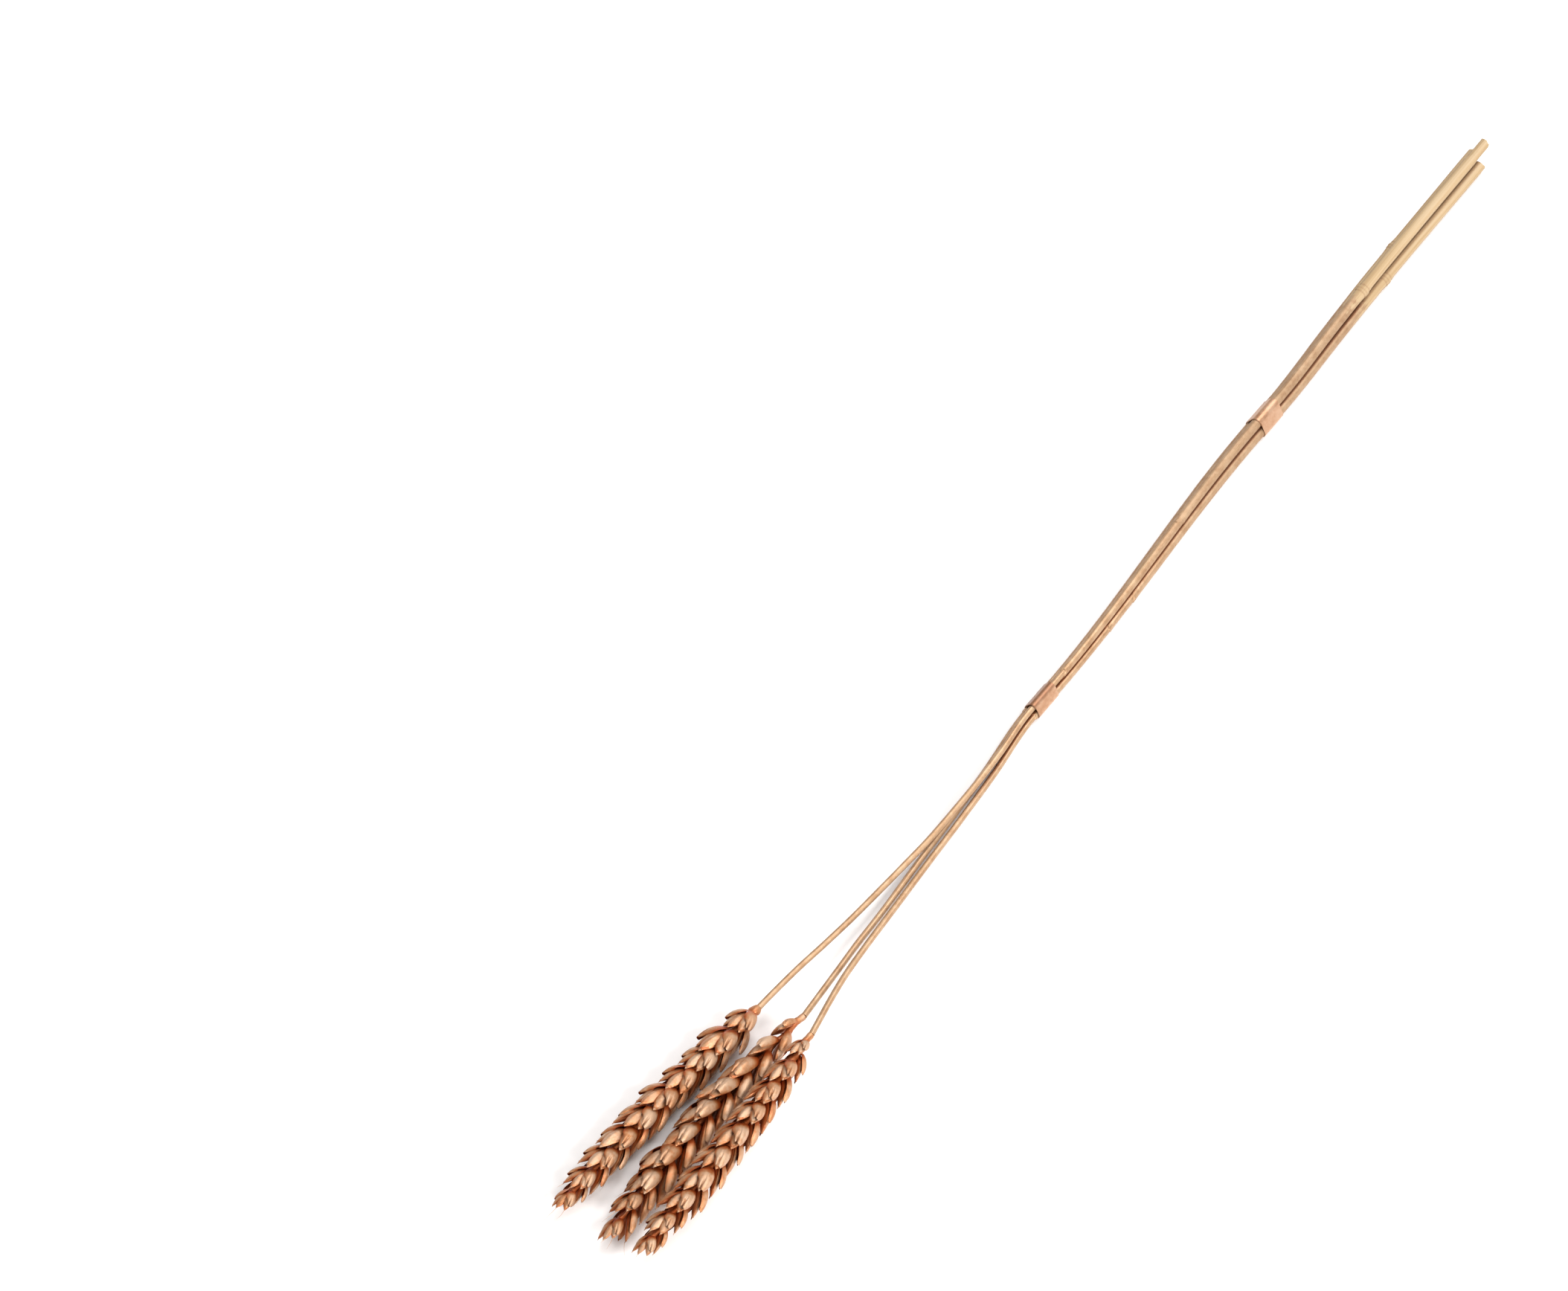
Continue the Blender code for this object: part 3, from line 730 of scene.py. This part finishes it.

# The lowest spikelets are grown larger and lie open, so painted shade darkens their roots less than the
# others'; the painted shade at a husk's root fades over this stretch of it. From either end of the ear the
# spikelets get larger at these rates.
BASAL_SPIKELETS = 2
BASAL_ROOT_SHADE_LEVEL = 0.55
ROOT_SHADE_LEVEL = 0.18
ROOT_SHADE_FROM = 0.05
ROOT_SHADE_OVER = 0.42
BASAL_GROWTH = 1.2
BASAL_RISE = 3.0
TIP_SIZE = 0.62
TIP_RISE = 1.5

# Shape of each kind: length, width round its arch, root and tip width as shares of it, where it is widest,
# how it narrows, how far its middle bows out, how its blades bend in degrees, inner side first, how far it
# folds at its keel, where the keel lies across it, and the height of its nerves.
HUSKS = {
    "glume": {"length": 9.8 * MM, "width": 7.0 * MM, "root": 0.72, "tip": 0.52, "peak": 0.42, "fall": 2.6,
              "bow": 0.60 * MM, "blade": (34.0, 74.0), "fold": 12.0, "keel_at": -0.30, "nerve": 0.04 * MM},
    "lemma": {"length": 12.6 * MM, "width": 6.2 * MM, "root": 0.60, "tip": 0.04, "peak": 0.40, "fall": 2.2,
              "bow": 0.60 * MM, "blade": (40.0, 40.0), "fold": 14.0, "keel_at": 0.0, "nerve": 0.04 * MM},
}

# How sharply a keel folds and how far apart the nerves are, as shares of the half width; the stations along a
# husk, which crowd towards its tip; and how wide its grain is beside the husk.
KEEL_WIDTH = 0.10
NERVE_SPACING = 0.36
HUSK_STATIONS = 20
HUSK_CROWDING = 1.35
HUSK_GRAIN = 0.7
ARCH_POINTS = 161
LEMMA_COLUMNS = np.linspace(-1.0, 1.0, 17)
# A glume's columns lie closer at the notch beside its tooth.
GLUME_COLUMNS = np.array([-1, -0.9, -0.76, -0.6, -0.44, -0.28, -0.14, -0.02, 0.06, 0.12, 0.16, 0.20, 0.26,
                          0.34, 0.43, 0.52, 0.61, 0.71, 0.82, 0.92, 1])

# The glume's end: its round shoulder drops away beside a notch and a tooth, each with its place across the
# glume, its width and its depth or height as a share of the length; and the crease that runs to the notch.
SHOULDER_AT = -0.38
SHOULDER_SPAN = 0.9
SHOULDER_DROP = 0.17
SHOULDER_POWER = 2.4
NOTCH_AT = 0.16
NOTCH_WIDTH = 0.075
NOTCH_DEPTH = 0.12
TOOTH_AT = 0.50
TOOTH_WIDTH = 0.17
TOOTH_HEIGHT = 0.13
CREASE_WIDTH = 0.08
CREASE_DEPTH = 0.22 * MM

# A husk's thickness at its middle and at its thinnest, and how far its edges and its whole width wander.
HUSK_THICK = 0.2 * MM
HUSK_THINNEST = 0.012 * MM
EDGE_WAVE = 0.12 * MM
SIDE_WAVE = 0.14 * MM

# How far painted shade darkens a husk's inner and outer edge, and how light it leaves its inside.
INNER_EDGE_SHADE = 0.75
OUTER_EDGE_SHADE = 0.40
INSIDE_SHADE = 0.25

# The floret: rows and sides of its mesh, its half width as a share of the lemma's width, its half depth, and
# how high it lies as a share of the lemma's bow.
FLORET_ROWS = 11
FLORET_SIDES = 10
FLORET_WIDTH = 0.36
FLORET_DEPTH = 1.15 * MM
FLORET_LIFT = 0.6

# Awns: where they leave the lemma, how thick they are, how much they taper and bend, how many are long, and
# the lengths of long and short ones in millimetres.
AWN_ROOT = 0.97
AWN_THICK = 0.17 * MM
AWN_TAPER = 0.8
AWN_BEND = 0.25
AWN_SHADE = 0.9
AWN_ROWS = 7
AWN_SIDES = 4
LONG_AWN_SHARE = 0.3
LONG_AWN = (3.0, 6.5)
SHORT_AWN = (0.3, 0.9)


def shell_faces(rows, columns):
    """Faces of a closed shell between an outer sheet of points and an inner one of the same grid."""
    index = np.arange(rows * columns).reshape(rows, columns)
    inner = index + rows * columns
    outer_faces = np.stack([index[:-1, :-1], index[:-1, 1:], index[1:, 1:], index[1:, :-1]], -1)
    inner_faces = np.stack([inner[:-1, :-1], inner[1:, :-1], inner[1:, 1:], inner[:-1, 1:]], -1)
    rims = []
    for near, far in ((index[0], inner[0]), (index[-1][::-1], inner[-1][::-1]),
                      (index[:, 0][::-1], inner[:, 0][::-1]), (index[:, -1], inner[:, -1])):
        rims.append(np.stack([near[1:], near[:-1], far[:-1], far[1:]], -1))
    return np.concatenate([outer_faces.reshape(-1, 4), inner_faces.reshape(-1, 4)] + rims)


def sheet_normals(sheet):
    """Unit normals of a grid of points, from its slopes."""
    along = np.gradient(sheet, axis=0)
    across = np.gradient(sheet, axis=1)
    normals = np.cross(along, across)
    return normals / np.maximum(np.linalg.norm(normals, axis=2, keepdims=True), TINY * MM)


def glume_end(w):
    """How far a glume reaches at each column: a round shoulder, a notch, and a tooth on the inner side."""
    shoulder = 1.0 - SHOULDER_DROP * np.abs((w - SHOULDER_AT) / SHOULDER_SPAN) ** SHOULDER_POWER
    tooth = TOOTH_HEIGHT * np.exp(-((w - TOOTH_AT) / TOOTH_WIDTH) ** 2)
    notch = NOTCH_DEPTH * np.exp(-((w - NOTCH_AT) / NOTCH_WIDTH) ** 2)
    return shoulder + tooth - notch


def arch(form, w):
    """The arch of a husk across its width, as y and z at each column for a half width of one."""
    fine = np.linspace(-1.0, 1.0, ARCH_POINTS)
    blade = np.where(fine > 0, form["blade"][0], form["blade"][1])
    bend = np.radians(blade * fine + form["fold"] * np.tanh((fine - form["keel_at"]) / KEEL_WIDTH))
    y = np.concatenate([[0.0], np.cumsum(np.cos(bend[:-1]))]) * (fine[1] - fine[0])
    z = np.concatenate([[0.0], np.cumsum(-np.sin(bend[:-1]))]) * (fine[1] - fine[0])
    middle = np.interp(0.0, fine, y)
    return np.interp(w, fine, y) - middle, np.interp(w, fine, z) - (z[0] + z[-1]) / 2


def husk_sheets(kind, size, inner_side, draw):
    """Outer and inner sheet of a husk, x along it, y across, z out of its back, with its root at the origin.
    Its inner side, 1 or -1, is the one that faces the middle of the spikelet."""
    form = HUSKS[kind]
    t = np.linspace(0.0, 1.0, HUSK_STATIONS)
    u = (1.0 - (1.0 - t) ** HUSK_CROWDING)[:, None]
    w = (GLUME_COLUMNS if kind == "glume" else LEMMA_COLUMNS)[None, :]
    v = w * inner_side
    rise = form["root"] + (1.0 - form["root"]) * np.sin(math.pi / 2 * np.clip(u / form["peak"], 0, 1))
    past = np.clip((u - form["peak"]) / (1.0 - form["peak"]), 0, 1)
    drop = 1.0 - (1.0 - form["tip"]) * past ** form["fall"]
    half = form["width"] / 2 * rise * drop
    edge = glume_end(w) if kind == "glume" else 1.0 + 0 * w
    x = form["length"] * (u + (u ** 3) * (edge - 1.0))
    arch_y, arch_z = arch(form, w)
    y = half * arch_y * inner_side
    z = half * arch_z + form["bow"] * np.sin(math.pi * u ** 0.9)
    if kind == "glume":
        z = z - CREASE_DEPTH * np.exp(-((w - NOTCH_AT) / CREASE_WIDTH) ** 2) * smooth_step((u - 0.45) / 0.4)
    fade = smooth_step(u / 0.25) * (1.0 - 0.6 * smooth_step((u - 0.85) / 0.15))
    z = z + form["nerve"] * np.cos(2 * math.pi * (w - form["keel_at"]) / NERVE_SPACING) * fade
    wave = draw.uniform(0, 6)
    z = z + EDGE_WAVE * np.sin(6 * u + wave) * v ** 3
    y = y + SIDE_WAVE * np.sin(4 * u + wave) * u
    outer = np.stack([x, y, z + 0 * y], -1) * size
    thick = HUSK_THICK * size * (1.0 - 0.75 * v ** 2) * (1.0 - 0.7 * u ** 4) * rise * drop + HUSK_THINNEST
    normals = sheet_normals(outer)
    inner = outer - normals * thick[:, :, None] * np.sign(normals[:, :, 2:].mean())
    return outer, inner, u, w


def husk_axes(along, outward):
    """Along, across and out of the back, as unit vectors square to each other."""
    across = along.cross(outward).normalized()
    return np.array([along, across, across.cross(along).normalized()])


def add_husk(skin, root, along, outward, kind, size, inner_side, spray_cover_and_root_shade, draw):
    """One husk as a closed shell, with painted shade on its root, its edges and its inside; the root keeps the
    given share of its lightness.
    """
    outer, inner, u, w = husk_sheets(kind, size, inner_side, draw)
    axes = husk_axes(along, outward)
    points = np.concatenate([outer.reshape(-1, 3), inner.reshape(-1, 3)]) @ axes + np.array(root)
    mark = draw.uniform(0, 1)
    form = HUSKS[kind]
    v = w * inner_side
    across = 0 * u + v * form["width"] * HUSK_GRAIN
    grain = np.stack([u * form["length"] + 0 * v, across, 0 * across + mark], -1)
    # Painted shade on the edges, darker on the inner one, and on the inside.
    edges = 1.0 - INNER_EDGE_SHADE * np.clip(w, 0, 1) ** 3 - OUTER_EDGE_SHADE * np.clip(-w, 0, 1) ** 4
    # Painted shade at the root, where the husk below hides it.
    shade = (spray_cover_and_root_shade + (1.0 - spray_cover_and_root_shade) * smooth_step((u - ROOT_SHADE_FROM) / ROOT_SHADE_OVER)) * edges
    skin.add(points, shell_faces(*outer.shape[:2]), np.concatenate([grain.reshape(-1, 3)] * 2),
             np.concatenate([shade.reshape(-1), INSIDE_SHADE * shade.reshape(-1)]))


def add_floret(skin, root, along, outward, size, draw):
    """The plump body that closes a lemma from within: a spindle a little narrower than the lemma."""
    u = np.linspace(0.05, 0.93, FLORET_ROWS)
    swell = (np.sin(math.pi * u ** 0.85) ** 0.7)[:, None]
    angle = 2 * math.pi * np.arange(FLORET_SIDES) / FLORET_SIDES
    form = HUSKS["lemma"]
    x = np.repeat((u * form["length"] * size)[:, None], FLORET_SIDES, axis=1)
    y = swell * np.cos(angle)[None, :] * form["width"] * FLORET_WIDTH * size
    z = swell * np.sin(angle)[None, :] * FLORET_DEPTH * size + form["bow"] * FLORET_LIFT * size
    points = cap_rings(np.stack([x, y, z], -1) @ husk_axes(along, outward) + np.array(root))
    grain = np.zeros(points.shape) + np.array([0.0, 0.0, draw.uniform(0, 1)])
    grain[1:-1, :, 0] = x
    grain[1:-1, :, 1] = y
    # Painted shade, darker towards the root where the husks close over the floret.
    shade = np.concatenate([[0.2], 0.2 + 0.5 * u, [0.7]])
    add_tube(skin, points, grain, np.repeat(shade[:, None], FLORET_SIDES, axis=1))


def add_awn(skin, start, heading, bend, length, draw):
    """An awn: a fine tapered thread that bends towards bend as it goes."""
    share = np.linspace(0.0, 1.0, AWN_ROWS)[:, None]
    places = np.array(start) + np.array(heading) * (length * share) + np.array(bend) * (length * share ** 2)
    headings = np.gradient(places, axis=0)
    headings /= np.linalg.norm(headings, axis=1, keepdims=True)
    radii = np.repeat(AWN_THICK / 2 * (1.0 - AWN_TAPER * share), AWN_SIDES, axis=1)
    points = cap_rings(tube_rings(places, headings, radii))
    grain = np.zeros(points.shape) + np.array([0.0, 0.0, draw.uniform(0, 1)])
    add_tube(skin, points, grain, np.full(points.shape[:2], AWN_SHADE))


def ear_length(ear):
    """Length from the ear's base to its tip, round its bend."""
    return (ear["middle"] - ear["base"]).length + (ear["tip"] - ear["middle"]).length


def ear_place(ear, distance):
    """The point of the ear's bent middle line at a distance from its base, its heading, and the way the
    first row of spikelets faces."""
    base, middle, tip = ear["base"], ear["middle"], ear["tip"]
    share = distance / ear_length(ear)
    knee = (middle * 4 - base - tip) / 2
    point = base * (1 - share) ** 2 + knee * (2 * share * (1 - share)) + tip * share ** 2
    heading = ((knee - base) * (1 - share) + (tip - knee) * share).normalized()
    level = heading.cross(Vector((0, 0, 1))).normalized()
    up = level.cross(heading).normalized()
    roll = math.radians(ear["roll"] + ear["twist"] * share)
    return point, heading, up * math.cos(roll) + level * math.sin(roll)


def spikelet_size(i, basal):
    """How large spikelet i is: small at the ear's base, full-grown in its middle, slimmer at its tip."""
    share = i / EAR_NODES
    return min(1.0, basal + BASAL_RISE * share, TIP_SIZE + TIP_RISE * (1.0 - share))


def add_rachis(skin, ear, step):
    """The zigzag middle stalk, a little thicker at each node, with a collar where the straw joins it."""
    places, radii = [], []
    for i in range(EAR_NODES + 2):
        distance = 0.0 if i == 0 else EAR_FIRST_NODE + step * (i - 1)
        point, along, row = ear_place(ear, distance)
        if i == 0:
            point = point - along * STUB_REACH
        sway = 0.0 if i == 0 else RACHIS_ZIGZAG * (1 if i % 2 else -1)
        radius = STUB_RADIUS if i == 0 else RACHIS_RADIUS * (1.0 - RACHIS_TAPER * i / EAR_NODES)
        places.append(np.array(point + row * sway))
        radii.append(radius)
    steps = np.arange(len(places))
    fine = np.linspace(0, len(places) - 1, 4 * len(places) - 3)
    places = np.stack([np.interp(fine, steps, np.array(places)[:, axis]) for axis in range(3)], -1)
    waist = RACHIS_WAIST + (1.0 - RACHIS_WAIST) * np.abs(np.cos(math.pi * fine))
    radii = np.interp(fine, steps, radii) * waist
    collar = ear["collar"] * np.exp(-((fine - COLLAR_AT) / COLLAR_WIDTH) ** 2)[:, None]
    headings = np.gradient(places, axis=0)
    headings /= np.linalg.norm(headings, axis=1, keepdims=True)
    angle = ring_angles(RACHIS_SIDES)
    lumps = 1.0 + 0.35 * np.sin(2 * angle + 1.0)[None, :] + 0.25 * np.sin(3 * angle + 7 * fine[:, None])
    points = cap_rings(tube_rings(places, headings, radii[:, None] * (1.0 + collar * lumps)))
    along = np.concatenate([places[:1, 0], places[:, 0], places[-1:, 0]])[:, None]
    across = 0 * along + MM * np.cos(angle)
    grain = np.stack([along + 0 * angle, across, 0 * across + RACHIS_MARK], -1)
    # Painted shade: the rachis is dark along the ear, where the husks hide it, and lighter at the bare stub; a
    # swollen collar keeps the stub darker.
    shown = smooth_step(1.2 - np.concatenate([fine[:1], fine, fine[-1:]]))
    shade = 0.4 + (0.5 - 0.3 * ear["collar"]) * shown
    add_tube(skin, points, grain, np.repeat(shade[:, None], RACHIS_SIDES, axis=1))


def add_ear(skin, ear):
    """Rachis and two rows of spikelets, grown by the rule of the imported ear, with finer and more husks."""
    draw = random.Random(ear["seed"])
    fine_draw = random.Random(ear["seed"] + 100)
    step = (ear_length(ear) - EAR_FIRST_NODE - TIP_HUSK) / EAR_NODES
    add_rachis(skin, ear, step)
    for i in range(EAR_NODES + 1):
        point, along, row = ear_place(ear, EAR_FIRST_NODE + step * i)
        face = row if i % 2 == 0 else -row
        side = along.cross(face).normalized()
        size = spikelet_size(i, ear["basal"]) * (1.0 + SIZE_STRAY * draw.uniform(-1, 1))
        lean = math.radians(SPIKELET_LEANS[i % 2] + LEAN_STRAY * draw.uniform(-1, 1))
        if i == EAR_NODES:
            lean = 0.0
        stem = along * math.cos(lean) + face * math.sin(lean)
        out = face * math.cos(lean) - along * math.sin(lean)
        root = point + face * SPIKELET_RAISE
        jitter, spray_cover_and_root_shade = draw, ROOT_SHADE_LEVEL
        if i < BASAL_SPIKELETS:
            jitter, spray_cover_and_root_shade = fine_draw, BASAL_ROOT_SHADE_LEVEL
            size = size * BASAL_GROWTH
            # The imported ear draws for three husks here, and this one keeps in step with it.
            for _ in range(3):
                draw.uniform(-1, 1)
        turns = [spread + TURN_STRAY * jitter.uniform(-1, 1) for spread, *_ in SPIKELET]
        for (spread, pitch, rise, aside, lift, front, kind, share), turn in zip(SPIKELET, turns):
            turn = math.radians(turn + HUSK_STRAY * fine_draw.uniform(-1, 1))
            pitch = math.radians(pitch + HUSK_STRAY * fine_draw.uniform(-0.9, 0.2))
            aslant = stem * math.cos(turn) + side * math.sin(turn)
            heading = aslant * math.cos(pitch) + out * math.sin(pitch)
            back = out * front + side * (math.copysign(1.0, spread) + fine_draw.uniform(-0.2, 0.2))
            start = root + (stem * rise + side * aside + out * lift) * (MM * size)
            grown = size * share * ear["growth"] * fine_draw.uniform(0.90, 1.06)
            inner_side = -1 if spread > 0 else 1
            add_husk(skin, start, heading, back, kind, grown, inner_side, spray_cover_and_root_shade, fine_draw)
            if kind == "lemma":
                add_floret(skin, start, heading, back, grown, fine_draw)
                tip = start + heading * (HUSKS["lemma"]["length"] * grown * AWN_ROOT)
                long_awn = i >= ear["awned"] and fine_draw.random() < LONG_AWN_SHARE
                length = fine_draw.uniform(*(LONG_AWN if long_awn else SHORT_AWN)) * MM
                if i == EAR_NODES and spread == SPIKELET[-1][0]:
                    length = ear["awn"]
                bend = (side * fine_draw.uniform(-1, 1) + out * fine_draw.uniform(-0.4, 0.8)) * AWN_BEND
                add_awn(skin, tip, heading, bend, length, fine_draw)


# Tones of the sprayed husks, from the painted shade in the deep gaps between them to their lit backs, and
# the tint of their fibres.
EAR_TONES = [(0.0, (0.24, 0.014, 0.001)), (0.3, (0.36, 0.064, 0.008)), (0.65, (0.43, 0.195, 0.084)),
             (1.0, (0.53, 0.362, 0.242))]
EAR_FIBRE = (0.33, 0.11, 0.025, 1.0)

ear_finish, tree, shader, grain, shade, place = finish_material("sprayed_ear")
film = use_group(tree, spray, Vector=place, Scale=1.0)
fibre = use_group(tree, fibres, Grain=grain, Length=160.0, Fineness=2600.0)
fine, tone = fibre.outputs["Fine"], film.outputs["Tone"]
# The shade attribute carries painted shade into the husks' tone.
lit = maths(tree, "MULTIPLY", shade, span(tree, tone, 0.0, 1.0, 0.74, 1.1), clamp=True)
husk_mark = node(tree, "ShaderNodeSeparateXYZ", [(0, grain)]).outputs[2]
lit = maths(tree, "MULTIPLY", lit, span(tree, husk_mark, 0.0, 1.0, 0.82, 1.12), clamp=True)
colour = blend_colour(tree, maths(tree, "MULTIPLY", fine, 0.35), ramp(tree, lit, EAR_TONES), EAR_FIBRE)
tree.links.new(colour, shader.inputs["Base Color"])
shader.inputs["Metallic"].default_value = 0.5
dust = maths(tree, "MULTIPLY", film.outputs["Speckle"], 0.12)
rough = maths(tree, "ADD", span(tree, tone, 0.0, 1.0, 0.30, 0.44), dust)
tree.links.new(rough, shader.inputs["Roughness"])
raise_relief(tree, shader, fine, film.outputs["Height"], 0.8, 0.3, 0.8, 0.12 * MM)

# Each ear: three points of its middle line, the roll of its rows at the base and their twist from there to
# the tip in degrees, the size of its lowest spikelet, the growth of all its husks, the swell of its collar,
# the first spikelet that may bear long awns, the length of the awn at its tip, and the seed of its random
# draws.
EARS = {
    "left": {
        "base": at(-165.0, 3.3, 7.1), "middle": at(-216, 8.0, 7.2), "tip": at(-267.6, 11.0, 6.3),
        "roll": 22.0, "twist": 0.0, "basal": 0.74, "growth": 1.03, "collar": 0.75,
        "awned": 13, "awn": 11.5 * MM, "seed": 3,
    },
    "middle": {
        "base": at(-158.5, -11.3, 7.5), "middle": at(-212, -8.2, 7.6), "tip": at(-266.5, -9.5, 6.7),
        "roll": 76.0, "twist": -42.0, "basal": 0.48, "growth": 1.20, "collar": 0.15,
        "awned": 7, "awn": 1.5 * MM, "seed": 5,
    },
    "right": {
        "base": at(-165.0, -19.3, 12.2), "middle": at(-215, -22.5, 12.6), "tip": at(-267.0, -22.9, 11.0),
        "roll": 28.0, "twist": 0.0, "basal": 0.55, "growth": 1.0, "collar": 0.12,
        "awned": 13, "awn": 3.0 * MM, "seed": 8,
    },
}
for side_name, ear in EARS.items():
    skin = Skin()
    add_ear(skin, ear)
    piece = skin.build("dry_ear_" + side_name, ear_finish)
    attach(piece, "root")
    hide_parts("ear_" + side_name)


# Tape bands
# Florist's paper tape wound a few turns round the three straws, then sprayed with them: it is drawn flat
# across the hollows between the straws, and its turns lie a hair apart at the edges. The last turn ends on
# the near side.

TAPE_WIDTH = 12.2 * MM
TAPE_MARGIN = 0.3 * MM
EDGE_WANDER = 0.16 * MM
CRINKLE_DEPTH = 0.02 * MM
CRINKLE_WAVES = 5200
ARC_POINTS = 12
RUN_POINTS = 14
WIDTH_POINTS = 25
# How far each turn's inner and outer faces stand off the straws, and how far it has wandered aside, in
# millimetres. The last turn stops this many points short of a whole loop.
TURNS = ((0.04, 0.17, 0.12), (0.17, 0.30, -0.16))
LAST_TURN = (0.30, 0.42, 0.02)
LAST_TURN_TUCK = 3
# The facet that leans to +Y, which painted shade darkens: its middle, its reach and the ease of its ends,
# counted in points along the loop; and how light the painted shade leaves the inside of a turn.
DARK_FACET = 22.5
DARK_REACH = 13.5
DARK_EASE = 3.0
TAPE_INSIDE_SHADE = 0.5


def wrap_loop(x, reach):
    """Rounded triangle drawn round the straws at x, this far beyond their skins, and its length so far."""
    half, low, high = band_layout(x)
    radius = half - STRAW_GAP / 2 + reach
    corners = ((half, low, -90.0), (0.0, high, 30.0), (-half, low, 150.0))
    points = []
    for k, (y, z, start) in enumerate(corners):
        for a in np.radians(start + 120.0 * np.arange(ARC_POINTS) / (ARC_POINTS - 1)):
            points.append((y + radius * math.cos(a), z + radius * math.sin(a)))
        next_y, next_z, next_start = corners[(k + 1) % 3]
        a = math.radians(next_start)
        goal = np.array((next_y + radius * math.cos(a), next_z + radius * math.sin(a)))
        begin = np.array(points[-1])
        for share in np.arange(1, RUN_POINTS) / RUN_POINTS:
            points.append(tuple(begin + (goal - begin) * share))
    loop = np.array(points)
    steps = np.linalg.norm(np.roll(loop, -1, axis=0) - loop, axis=1)
    return loop, np.concatenate([[0.0], np.cumsum(steps)[:-1]])


def add_turn(skin, x, y, turn, deep, tuck=None):
    """One turn of tape: a thin closed sleeve, or with a tuck a strip that stops so many points short of it.
    Painted shade darkens one facet by the share deep."""
    low_reach, high_reach, wander = turn
    sheets = []
    along = np.linspace(-0.5, 0.5, WIDTH_POINTS)[:, None]
    for reach in (high_reach, low_reach):
        loop, length = wrap_loop(x, reach * MM)
        if tuck:
            loop, length = loop[:-tuck], length[:-tuck]
        round_share = 2 * math.pi * length / (length[-1] + 1 * MM)
        edge = ripple(random.Random(wander * 1000), 4, 1.2)(round_share) * EDGE_WANDER
        px = x + along * (TAPE_WIDTH - TAPE_MARGIN) + (wander * MM + edge)[None, :]
        crinkle = CRINKLE_DEPTH * np.sin(px * CRINKLE_WAVES + 3 * np.sin(round_share * 2))
        flat = np.broadcast_to(loop[None, :, :], (WIDTH_POINTS, len(loop), 2))
        outward = flat - loop.mean(0)
        outward = outward / np.linalg.norm(outward, axis=2, keepdims=True)
        pulled = flat + outward * np.minimum(crinkle, 0)[:, :, None]
        sheets.append(np.stack([px, y + pulled[:, :, 0], pulled[:, :, 1]], -1))
    outer, inner = sheets
    rows, columns = outer.shape[:2]
    grain = np.stack([np.broadcast_to(along * TAPE_WIDTH, (rows, columns)),
                      np.broadcast_to(length, (rows, columns)), np.full((rows, columns), wander)], -1)
    facet = np.abs(np.arange(columns) - DARK_FACET)
    shade = np.broadcast_to(1.0 - deep * smooth_step((DARK_REACH - facet) / DARK_EASE), (rows, columns))
    shades = np.concatenate([shade, shade * TAPE_INSIDE_SHADE]).reshape(-1)
    if tuck:
        points = np.concatenate([outer.reshape(-1, 3), inner.reshape(-1, 3)])
        skin.add(points, shell_faces(rows, columns), np.concatenate([grain.reshape(-1, 3)] * 2), shades)
    else:
        sleeve = np.concatenate([outer, inner[::-1]])
        index = np.arange(sleeve.shape[0] * columns).reshape(-1, columns)
        below = np.roll(index, -1, axis=0)
        faces = np.stack([index, np.roll(index, -1, axis=1), np.roll(below, -1, axis=1), below], -1)
        both = np.concatenate([grain, grain[::-1]])
        skin.add(sleeve.reshape(-1, 3), faces.reshape(-1, 4), both.reshape(-1, 3), shades)


# Tones of the sprayed paper, from its darkest mottling to its lightest, and the colour of painted shade on one
# facet and inside the turns.
TAPE_TONES = [(0.0, (0.37, 0.190, 0.100)), (0.5, (0.44, 0.250, 0.148)), (1.0, (0.50, 0.315, 0.205))]
TAPE_PAINTED_SHADE = (0.16, 0.05, 0.015, 1.0)

tape_finish, tree, shader, grain, shade, place = finish_material("sprayed_tape")
film = use_group(tree, spray, Vector=place, Scale=0.8)
crepe = use_group(tree, fibres, Grain=grain, Length=900.0, Fineness=260.0)
tone = film.outputs["Tone"]
# Painted shade where the shade attribute is low.
colour = blend_colour(tree, shade, TAPE_PAINTED_SHADE, ramp(tree, tone, TAPE_TONES))
tree.links.new(colour, shader.inputs["Base Color"])
shader.inputs["Metallic"].default_value = 0.55
dust = maths(tree, "MULTIPLY", film.outputs["Speckle"], 0.1)
rough = maths(tree, "ADD", span(tree, tone, 0.0, 1.0, 0.34, 0.44), dust)
tree.links.new(rough, shader.inputs["Roughness"])
raise_relief(tree, shader, crepe.outputs["Fine"], film.outputs["Height"], 0.6, 0.3, 0.3, 0.06 * MM)

# Each band: its place along and across the straws, and how far painted shade darkens its facet that leans to
# +Y.
BANDS = {"lower": (0.0, 0.0, 0.62), "upper": (UPPER_BAND_X, UPPER_BAND_Y, 0.12)}
for side_name, (band_x, band_y, deep) in BANDS.items():
    skin = Skin()
    for turn in TURNS:
        add_turn(skin, band_x, band_y, turn, deep)
    add_turn(skin, band_x, band_y, LAST_TURN, deep, LAST_TURN_TUCK)
    piece = skin.build("wound_tape_" + side_name, tape_finish)
    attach(piece, "root")
    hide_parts("tape_band_" + side_name)
